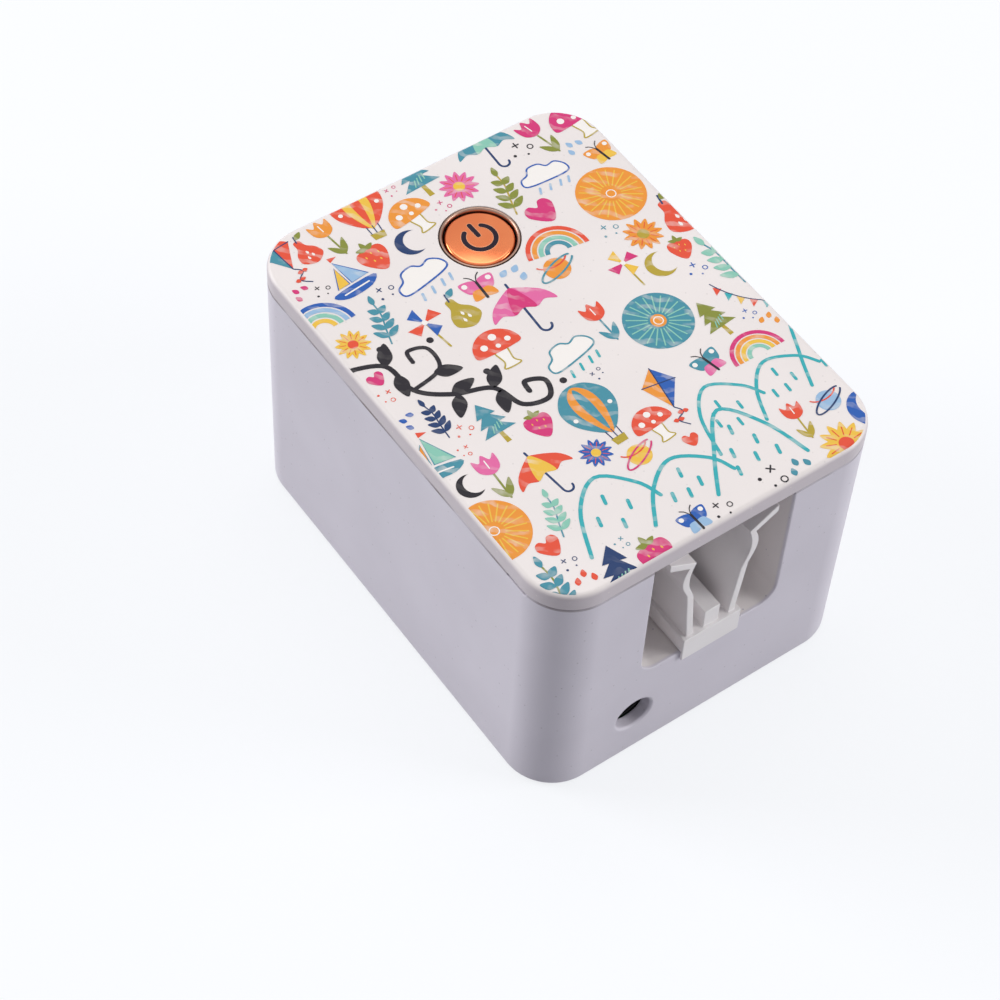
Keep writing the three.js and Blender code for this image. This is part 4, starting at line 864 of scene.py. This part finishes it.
def kite(left="orange", right="cobalt"):
    tail = drawn([(0, -4.0), (0.9, -5.2), (-0.5, -6.4), (0.7, -7.8)], 0.2)
    bows = [petal(0.9, 0.7, turn, place) for place in ((0.85, -5.2), (-0.45, -6.4)) for turn in (0, 180)]
    return [(left, 1, [[(0, 4), (-2.8, 0.9), (0, -4)]]), (right, 1, [[(0, 4), (0, -4), (2.8, 0.9)]]),
            ("navy", 2, strokes([[(0, 4), (0, -4)], [(-2.8, 0.9), (2.8, 0.9)]], 0.2) + tail),
            ("coral", 3, bows)]


def mushroom(cap="coral", spots="cream"):
    dome = curve_through([(-3.4, 0), (-2.9, 1.9), (-1.1, 3.2), (1.1, 3.2), (2.9, 1.9), (3.4, 0), (1.7, -0.4),
                          (-1.7, -0.4)])
    stem = mirrored([(-0.9, 0), (-0.7, -2.2), (-1.2, -3.2)])
    dots = [round_spot(*p) for p in ((-1.6, 1.1, 0.5), (0.3, 2.1, 0.55), (1.9, 0.9, 0.42), (0.2, 0.5, 0.35))]
    return [("cream", 0, [stem]), ("mustard", 1, stroke(stem, 0.22, closed=True)), (cap, 2, [dome]), (spots, 3, dots)]


def sprig(stem="olive", leaves="teal"):
    line = drawn([(-0.6, -4.4), (-0.2, -1.5), (0.3, 1.5), (0, 4.2)], 0.26)
    blades = [petal(2.6 - 0.25 * i, 1.1, 90 + side * 52, (-0.25 + 0.14 * i, -3.0 + 1.6 * i))
              for i in range(4) for side in (-1, 1)]
    return [(stem, 1, line), (leaves, 2, blades + [petal(2.0, 0.9, 90, (0.05, 3.6))])]


def tulip(cup="magenta", leaves="olive"):
    head = mirrored([(-1.7, 1.6), (-1.9, 4.0), (-0.9, 3.2)], [(0, 0.6)], [(0, 4.4)], steps=5)
    return [(leaves, 1, stroke([(0, 0.8), (0, -4.2)], 0.34) + [petal(3.6, 1.1, 64, (0, -4.1)),
                                                              petal(3.2, 1.0, 122, (0, -4.1))]),
            (cup, 2, [head]), ("cream", 3, stroke([(0, 3.3), (0, 1.8)], 0.2))]


def daisy(petals="orange", middle="mustard", count=12):
    blades = [petal(3.9, 1.5, 360 / count * i) for i in range(count)]
    ticks = rays(1.5, 2.9, count, 0.16)
    return [(petals, 1 + i % 2, [blade]) for i, blade in enumerate(blades)] + [
        ("coral", 3, ticks), (middle, 4, [round_spot(0, 0, 1.15)])]


def wheel_flower(rim="teal", spokes="mint"):
    """A big round flower head, hatched with fine spokes."""
    return [(rim, 1, [round_spot(0, 0, 5.2, steps=48)]), (spokes, 2, rays(1.6, 4.6, 22, 0.2)),
            ("orange", 2, [round_spot(0, 0, 1.2)]),
            ("cream", 3, stroke(round_spot(0, 0, 0.7), 0.16, closed=True))]


def moon(ink="navy"):
    outer, inner = arc(2.4, 60, 300, 24), arc(2.05, 292, 68, 24, (1.0, 0.0))
    return [(ink, 1, [outer + inner])]


def butterfly(upper="pink", lower="orange"):
    wings = [petal(3.3, 2.3, turn) for turn in (38, 142)]
    tails = [petal(2.4, 1.7, turn) for turn in (-40, 220)]
    spots = [round_spot(1.9 * side, 1.45, 0.42) for side in (-1, 1)]
    feelers = sum([drawn([(0, 1.4), (0.5 * side, 2.4), (1.1 * side, 2.9)], 0.16) for side in (-1, 1)], [])
    return [(upper, 1, wings), (lower, 1, tails), ("cream", 2, spots),
            ("black", 3, stroke([(0, 1.4), (0, -1.6)], 0.42) + feelers)]


def fir(ink="teal", trunk="mustard"):
    tiers = [[(-w, y), (0, y + 2.5), (w, y)] for w, y in ((2.7, -2.2), (2.2, -0.5), (1.6, 1.2))]
    hatch = strokes([[(-0.9 + 0.6 * i, -1.9 + 0.2 * i), (-0.4 + 0.5 * i, -0.9 + 0.2 * i)] for i in range(4)], 0.18)
    return [(trunk, 0, [[(-0.4, -4.2), (0.4, -4.2), (0.3, -2), (-0.3, -2)]]), (ink, 1, tiers[:1]),
            (ink, 2, tiers[1:2]), (ink, 3, tiers[2:]), ("mint", 4, hatch)]


def ringed_ball(ball="orange", ring="teal"):
    loop = [(x * cos(0.35) - y * sin(0.35), x * sin(0.35) + y * cos(0.35))
            for x, y in arc(3.9, 20, 340, 36, squeeze=0.3)]
    bands = stroke(arc(3.0, 200, 340, 14, (0, 2.3), 0.6), 0.3)
    return [(ball, 1, [round_spot(0, 0, 2.3, steps=32)]), ("coral", 2, bands), (ring, 3, stroke(loop, 0.34))]


def pinwheel(first="coral", second="cobalt"):
    blades = [[(0, 0), (3.0 * cos(a), 3.0 * sin(a)),
               (2.6 * cos(a + 0.75), 2.6 * sin(a + 0.75))] for a in (pi / 2 * i for i in range(4))]
    return [("mustard", 0, stroke([(0, 0), (0.4, -5.6)], 0.34)), (first, 1, blades[::2]), (second, 1, blades[1::2]),
            ("cream", 2, [round_spot(0, 0, 0.45)])]


def berry(ink="coral", crown="olive"):
    body = mirrored([(-1.9, -0.4), (-1.8, 1.3)], [(0, -2.6)], [(0, 1.6)])
    seeds = [petal(0.42, 0.2, 90, p) for p in ((-0.9, 0.2), (0.1, 0.5), (1.0, 0.1), (-0.4, -0.8), (0.5, -1.0))]
    return [(ink, 1, [body]), (crown, 2, [petal(1.4, 0.7, t, (0, 1.5)) for t in (20, 90, 160)]), ("yellow", 2, seeds)]


def hills(line="aqua"):
    """Three outlined hills with short strokes on them, as a wide line drawing."""
    rows = [[(-15, -3), (-12.5, 3.2), (-8.5, 6.4), (-4.6, 3.4), (-3.2, 0.4)],
            [(-6.2, -3), (-3.4, 1.6), (0.6, 4.2), (4.8, 2.0), (6.4, -0.8)],
            [(2.6, -3), (5.6, 2.2), (9.6, 7.4), (13.4, 3.0), (15.4, -3)]]
    outlines = sum([drawn(row, 0.5) for row in rows], [])
    dashes = strokes([[(x, y), (x + 0.25, y + 1.1)] for x, y in (
        (-11.6, 0.2), (-9.4, 2.6), (-7.2, 0.6), (-9.2, -1.4), (-2.2, -1.2), (0.4, 1.4), (1.8, -0.8), (-0.2, -1.6),
        (7.4, 0.6), (9.2, 3.6), (11.0, 1.0), (9.6, -1.2), (6.6, -1.9), (12.4, -1.6))], 0.46)
    return [(line, 1, outlines + dashes)]


def vine(ink="black"):
    """A long curling tendril with leaves."""
    stem = drawn([(-11, -3.4), (-7.6, -1.0), (-3.4, -2.6), (0.6, -1.2), (4.2, 1.6), (8.0, 1.0), (10.2, 3.2),
                  (8.8, 5.2), (6.9, 4.0), (7.9, 3.0)], 0.62, steps=8)
    side = drawn([(-3.4, -2.6), (-2.2, 1.4), (-4.6, 3.4), (-6.4, 2.0), (-5.2, 0.9)], 0.5, steps=8)
    leaves = [petal(3.3, 1.6, t, p) for t, p in (
        (120, (-7.6, -1.0)), (-40, (-6.0, -1.5)), (70, (0.6, -1.2)), (-60, (1.2, -0.9)), (110, (4.2, 1.6)),
        (-50, (5.0, 1.7)), (40, (-2.5, 0.6)), (200, (-10.6, -3.2)))]
    return [(ink, 2, stem + side + leaves),
            (ink, 1, [round_spot(x, y, 0.42) for x, y in ((-4.9, 4.6), (10.6, 6.0), (2.6, 3.4), (-9.2, 0.9))])]


def bunting(first="coral", second="aqua", third="yellow"):
    """A sagging string of small flags."""
    line = arc(16, 238, 302, 24, (0, 14))
    flags = {ink: [] for ink in (first, second, third)}
    for i, ink in zip(range(2, 24, 3), [first, second, third] * 3):
        x, y = line[i]
        flags[ink].append([(x - 0.75, y), (x + 0.75, y), (x + 0.05, y - 1.7)])
    return [("navy", 2, stroke(line, 0.2))] + [(ink, 1, shapes) for ink, shapes in flags.items()]


def sailboat(hull="cobalt", main="sky", jib="yellow"):
    """A small boat with two sails and a pennant, outlined in the hull's ink."""
    sails = [(main, [(0.2, -0.9), (0.2, 4.0), (3.4, -0.9)]), (jib, [(-0.2, -0.9), (-0.2, 3.0), (-2.4, -0.9)])]
    body = curve_through([(-3.6, -1.5), (3.9, -1.5), (2.4, -3.2), (-2.2, -3.2)], steps=4)
    return [(ink, 1, [sail]) for ink, sail in sails] + [
        (hull, 2, [body] + sum([stroke(sail, 0.2, closed=True) for ink, sail in sails], [])),
        ("coral", 1, [[(0.1, 4.2), (0.1, 5.2), (1.6, 4.7)]]), ("cream", 3, stroke([(-2.2, -2.3), (2.4, -2.3)], 0.26))]


def pear(skin="mustard", leaf="teal"):
    body = mirrored([(-2.2, -2.0), (-2.0, -0.2), (-0.9, 1.2), (-0.6, 2.7)], [(0, -3.2)])
    pips = [petal(0.8, 0.42, 90, p) for p in ((-0.55, -1.9), (0.5, -1.7), (0.0, -0.7))]
    return [(skin, 1, [body]), ("navy", 2, stroke([(0, 2.5), (0.4, 3.9)], 0.26)),
            (leaf, 2, [petal(2.0, 1.0, 28, (0.3, 3.2))]), ("cream", 2, pips)]


def heart(ink="coral"):
    return [(ink, 1, [mirrored([(-2.2, 0.2), (-2.0, 1.7), (-0.9, 2.0)], [(0, -2.2)], [(0, 1.1)], steps=5)])]


def drops(ink="sky"):
    return [(ink, 1, [petal(1.9, 1.2, 90 + t, p) for t, p in ((0, (0, 0)), (12, (2.1, -1.2)), (-8, (-1.7, -1.7)))])]


def crumbs(ink="navy"):
    """Loose small marks: crosses, rings and dots."""
    cross = strokes([[(-0.8, 0.9), (0.4, 0.9)], [(-0.2, 0.3), (-0.2, 1.5)]], 0.24)
    return [(ink, 1, cross + stroke(round_spot(1.8, -0.6, 0.5, steps=12), 0.2, closed=True)
             + [round_spot(-1.6, -1.1, 0.3, steps=10), round_spot(0.6, -1.9, 0.22, steps=8)])]


# Where the motifs lie on the lid: rows of inks if not the usual ones, place, turn in degrees and size
PRINT = [
    (hills, "-1.5 -29.2 -3 1.12, 20 -22.6 8 1"),
    (vine, "-17.2 1.4 -60 1.22"),
    (wheel_flower, "orange yellow 21.2 17.6 15 0.98, 12.6 -4.8 0 0.96, orange yellow -26.4 -21.4 0 0.95"),
    (balloon, "coral yellow -10.2 34.2 -3 1"),
    (rainbow, "cobalt sky mint yellow -26.2 18.5 0 1"),
    (umbrella, "teal mint 11.4 34 -3 1"),
    (fir, "navy -16.7 -35.1 -12 1.1"),
    (sprig, "teal mint 26.8 -1.1 9 1.05"),
    (daisy, "yellow coral 20.6 -35.4 6 0.95"),
    (kite, "teal coral -24.2 33.7 6 0.9"),
    (mushroom, "magenta 25.4 32 9 1.1"),
    (sailboat, "teal mint orange -26.8 -7.5 -9 0.95"),
    (moon, "cobalt 27.2 -32.2 12 1.3"),
    (pear, "coral olive 26.4 9.4 6 1.1"),
    (fir, "teal -0.3 35.7 3 1.1"),
    (sprig, "olive teal -24.9 -33 -3 1"),
    (berry, "magenta -11.1 -35.8 9 1.2"),
    (bunting, "27.4 -8.1 -40 0.8"),
    (balloon, "-4.2 -13 3 1"),
    (umbrella, "pink magenta -1.4 6.5 -3 1.1, -15.4 -17.9 6 0.95"),
    (kite, "orange cobalt 5.8 -14.4 -9 0.9"),
    (rainbow, "8.7 12.8 -9 0.95, magenta orange yellow mint 20.6 -17.1 0 0.85"),
    (cloud, "-9.8 19.4 12 0.95, cobalt sky 15.5 25.8 -3 0.85, teal aqua -0.9 -2.9 12 0.9"),
    (sailboat, "-18.7 24.5 6 0.9"),
    (pinwheel, "-14.2 12.3 3 0.95, magenta yellow 14.8 6.2 -3 0.85"),
    (fir, "-16.5 -6.6 3 0.95, olive 19.2 -8.4 6 0.9"),
    (mushroom, "-8.4 3 0 1.05, orange -4.6 29.3 12 1, 1.3 -18.9 6 0.9"),
    (sprig, "mustard olive 9 25.7 -9 0.95, navy navy -22.3 -2.4 3 0.75, teal teal -18.8 15.5 -9 0.9, "
            "teal mint -18.3 -23.7 -12 0.8"),
    (tulip, "19.2 32 12 0.9, coral teal 6 -0.8 0 0.85, pink olive -21.2 -14.4 -3 0.9, "
            "orange olive -16.5 32.1 6 0.85, coral mustard 17.8 -29 -6 0.75"),
    (daisy, "20.4 9 -12 0.75, pink yellow 4 30.4 9 0.75, cobalt yellow -8 -18.4 -9 0.6, "
            "yellow coral -24.4 14.4 9 0.65"),
    (butterfly, "-4.3 13 -3 1, cobalt sky -3.7 -34.5 3 0.85, orange yellow 24.8 24.5 9 0.85, "
                "teal pink 13.9 -14.7 12 0.9"),
    (ringed_ball, "6.6 10.4 0 0.85, sky navy 23.2 -28.4 3 0.75, yellow magenta -3.4 -21.8 6 0.75"),
    (pear, "-9 11.2 9 0.95, coral olive -20.6 31.9 9 0.8"),
    (berry, "-13.3 26 9 1.1, magenta -11.4 -10.4 0 0.95, 23.2 4.1 -9 0.85"),
    (moon, "-7.6 25.4 -6 0.95, mustard 19.1 3.2 9 0.95, black -24.8 -13.8 9 0.8"),
    (heart, "magenta 11.1 20 12 1, -21.9 -27.4 9 0.75, magenta -25.1 7.6 9 0.55, coral 3.8 -23.6 -6 0.5"),
    (drops, "sky 1.1 13.1 -50 0.8, teal 12.9 -34.7 0 0.7, coral -21 -33.6 -20 0.65, cobalt -25.7 -0.5 50 0.6, "
            "sky 22 27.9 20 0.65, orange 25.5 -12.7 -40 0.6, magenta -25.5 26 30 0.6"),
    (crumbs, "black 9.1 -33.9 -40 0.95, black 15.4 31.8 0 0.85, navy -15.8 20 20 0.7, coral -20.4 -5.6 0 0.65, "
             "cobalt 22.7 0 -10 0.7, black 0.1 -34.5 10 0.75, teal 16.7 12.4 10 0.7, magenta -0.1 28.8 -20 0.6, "
             "navy -21.5 -30.6 20 0.6, coral -25.4 4.7 -60 0.6, cobalt 23.6 -10.4 -10 0.55, black -22.8 24.9 10 0.6, "
             "teal -13.8 -31.7 -40 0.5, magenta -4.7 35 40 0.5, navy -0.1 -7.6 50 0.5, coral -22 -8.5 -60 0.5"),
]


def screen_ink(name, colour):
    """Screen-printed ink: opaque, with paler brush hatching from the drawing and a thin matte film."""
    hatching = 0.06 if name in ("black", "navy", "cream") else 0.4
    made, surface, place = new_material("ink_" + name, IOR=1.5, Specular_IOR_Level=0.2)
    bent = add(place, "TexWave", {
        "Vector": place, "Scale": 1 / (0.7 * MM) / 6.28, "Distortion": 5.0, "Detail": 2.0, "Detail Scale": 1.4,
    }, bands_direction="DIAGONAL").outputs["Fac"]
    patch = noise(place, 2.2, 2.0)
    mark = product(levels(bent, 0.0, 1.0, 0.55, 0.75), levels(patch, 0.0, hatching, 0.4, 0.7))
    feed(surface, Base_Color=blend(mark, linear(colour), linear("#F2ECE6")),
         Roughness=levels(noise(place, 0.5), 0.36, 0.48))
    return made


def rim_depth(x, y):
    """How far a point of the lid lies inside its outline."""
    past_x, past_y = abs(x) - (WIDTH / 2 - CORNER), abs(y) - (LENGTH / 2 - CORNER)
    return CORNER - hypot(max(past_x, 0), max(past_y, 0)) - min(max(past_x, past_y), 0)


def cut_round_lid(bm, inset, trim=False, steps=16):
    """Cuts the film along the lid's outline, that far inside it, as many straight cuts."""
    for side_x, side_y in ((-1, -1), (1, -1), (1, 1), (-1, 1)):
        middle = Vector((side_x * (WIDTH / 2 - CORNER), side_y * (LENGTH / 2 - CORNER), 0))
        for i in range(steps + 1):
            turn = pi / 2 * i / steps
            out = Vector((side_x * cos(turn), side_y * sin(turn), 0))
            bmesh.ops.bisect_plane(bm, geom=bm.verts[:] + bm.edges[:] + bm.faces[:], dist=1e-6,
                                   plane_co=middle + (CORNER - inset) * out, plane_no=out, clear_outer=trim)


def wrap_over_rim(bm):
    """Trims the film short of the lid's side and lets it follow the rounded edge."""
    rim = bm.copy()
    for part, near_rim in ((bm, False), (rim, True)):
        others = [f for f in part.faces
                  if any(rim_depth(v.co.x, v.co.y) < LID_EDGE + 0.1 for v in f.verts) != near_rim]
        bmesh.ops.delete(part, geom=others, context="FACES")
    cut_round_lid(rim, 0.45, trim=True)
    for inset in (0.55, 0.66, 0.78, LID_EDGE):
        cut_round_lid(rim, inset)
    for v in rim.verts:
        short = LID_EDGE - rim_depth(v.co.x, v.co.y)
        if short > 0:
            v.co.z -= LID_EDGE - sqrt(LID_EDGE ** 2 - short ** 2)
    mesh = bpy.data.meshes.new("rim")
    rim.to_mesh(mesh)
    rim.free()
    bm.from_mesh(mesh)
    bpy.data.meshes.remove(mesh)


def trim_round_button(bm, radius=5.95, sides=20):
    """Cuts away what lies over the button's hole."""
    middle = Vector((BUTTON_X, BUTTON_Y, 0))

    def reach(face):
        centre = face.calc_center_median()
        return hypot(centre.x - middle.x, centre.y - middle.y)

    for i in range(sides):
        a = 2 * pi * i / sides
        out = Vector((cos(a), sin(a), 0))
        faces = [f for f in bm.faces if reach(f) < 2 * radius]
        touched = list({v for f in faces for v in f.verts}) + list({e for f in faces for e in f.edges}) + faces
        bmesh.ops.bisect_plane(bm, geom=touched, dist=1e-6, plane_co=middle + out * radius, plane_no=out)
    over = [f for f in bm.faces if reach(f) < radius]
    bmesh.ops.delete(bm, geom=over, context="FACES")


def make_print():
    """All motifs as one film on the lid; each outline has a height of its own, so none share a plane."""
    bm = bmesh.new()
    count = 0
    for motif, words in ((motif, row.split()) for motif, rows in PRINT for row in rows.split(", ")):
        x, y, turn, size = (float(word) for word in words[-4:])
        c, s = size * cos(radians(turn)), size * sin(radians(turn))
        for ink, layer, outlines in motif(*words[:-4]):
            for outline in outlines:
                placed = [(x + c * a - s * b, y + s * a + c * b) for a, b in outline]
                height = LID_TOP + LAYER * (layer + 1) + 0.0002 * (count % 40)
                lay_flat(bm, placed, INK_NAMES.index(ink), height)
                count += 1
    wrap_over_rim(bm)
    trim_round_button(bm)
    FINISHES.update((name, screen_ink(name, colour)) for name, colour in INKS.items())
    piece = finish_piece("lid_print", bm, INK_NAMES[0], "lid_cover", stands_for=False)
    for name in INK_NAMES[1:]:
        piece.data.materials.append(FINISHES[name])


make_housing()
make_clip()
make_lid()
make_liner()
make_bezel()
make_button()
make_inner_pieces()
make_icon()
make_print()


def lamp(name, place, aim, size, watts):
    """A soft square lamp, in metres, turned to a point."""
    data = bpy.data.lights.new(name, "AREA")
    data.size = size
    data.energy = watts
    made = placed(name, data)
    made.location = place
    made.rotation_mode = "QUATERNION"
    made.rotation_quaternion = (Vector(aim) - Vector(place)).to_track_quat("-Z", "Y")


def white_to_camera(beside):
    """One for what the camera sees directly, in a mirror or through glass, else nought."""
    path = add(beside, "LightPath").outputs
    seen = reckon("MAXIMUM", path["Is Camera Ray"], path["Is Glossy Ray"])
    return reckon("MAXIMUM", seen, path["Is Transmission Ray"])


def stage_and_light():
    """A pale floor, a white world behind it, and three soft lamps."""
    bm = bmesh.new()
    bmesh.ops.create_grid(bm, x_segments=1, y_segments=1, size=4.0)
    move(bm, (0, 0, -0.0002))
    floor = meshed("floor", bm)
    made, surface = new_material("studio_floor", Roughness=0.9, Specular_IOR_Level=0.1)[:2]
    seen = white_to_camera(surface)
    surface.inputs["Emission Color"].default_value = linear("#FBFDFF")
    feed(surface, Base_Color=blend(seen, linear("#B4B4BA"), linear("#7C7C80")),
         Emission_Strength=levels(seen, 0.0, 0.8))
    floor.data.materials.append(made)
    world = bpy.data.worlds.new("studio")
    world.use_nodes = True
    bpy.context.scene.world = world
    fill = world.node_tree.nodes["Background"]
    feed(fill, Strength=levels(white_to_camera(fill), 0.25, 1.0))
    fill.inputs["Color"].default_value = linear("#FBFCFF")
    lamp("left_lamp", (-1.0, 1.25, 0.7), (0, 0, 0.02), 0.8, 19.2)
    lamp("right_lamp", (1.25, -1.0, 0.7), (0, 0, 0.02), 0.8, 15.8)
    lamp("top_lamp", (0.21, 0.27, 1.36), (0, 0, 0.02), 1.0, 6.3)


def look_from(centre, right, down, forward):
    """A camera at a point, with its own axes given in the object's frame."""
    data = bpy.data.cameras.new("camera")
    camera = placed("camera", data)
    axes = Matrix((right, [-v for v in down], [-v for v in forward])).transposed().to_4x4()
    camera.matrix_world = Matrix.Translation(Vector(centre) * MM) @ axes
    data.sensor_width = 36.0
    data.lens = 98.95
    data.clip_start, data.clip_end = 0.01, 20.0
    bpy.context.scene.camera = camera


bpy.context.scene.view_settings.view_transform = "Standard"
stage_and_light()
look_from((-154.286, -184.125, 329.843), (0.8163, -0.5762, 0.0400), (-0.4430, -0.6691, -0.5967),
          (0.3706, 0.4694, -0.8015))
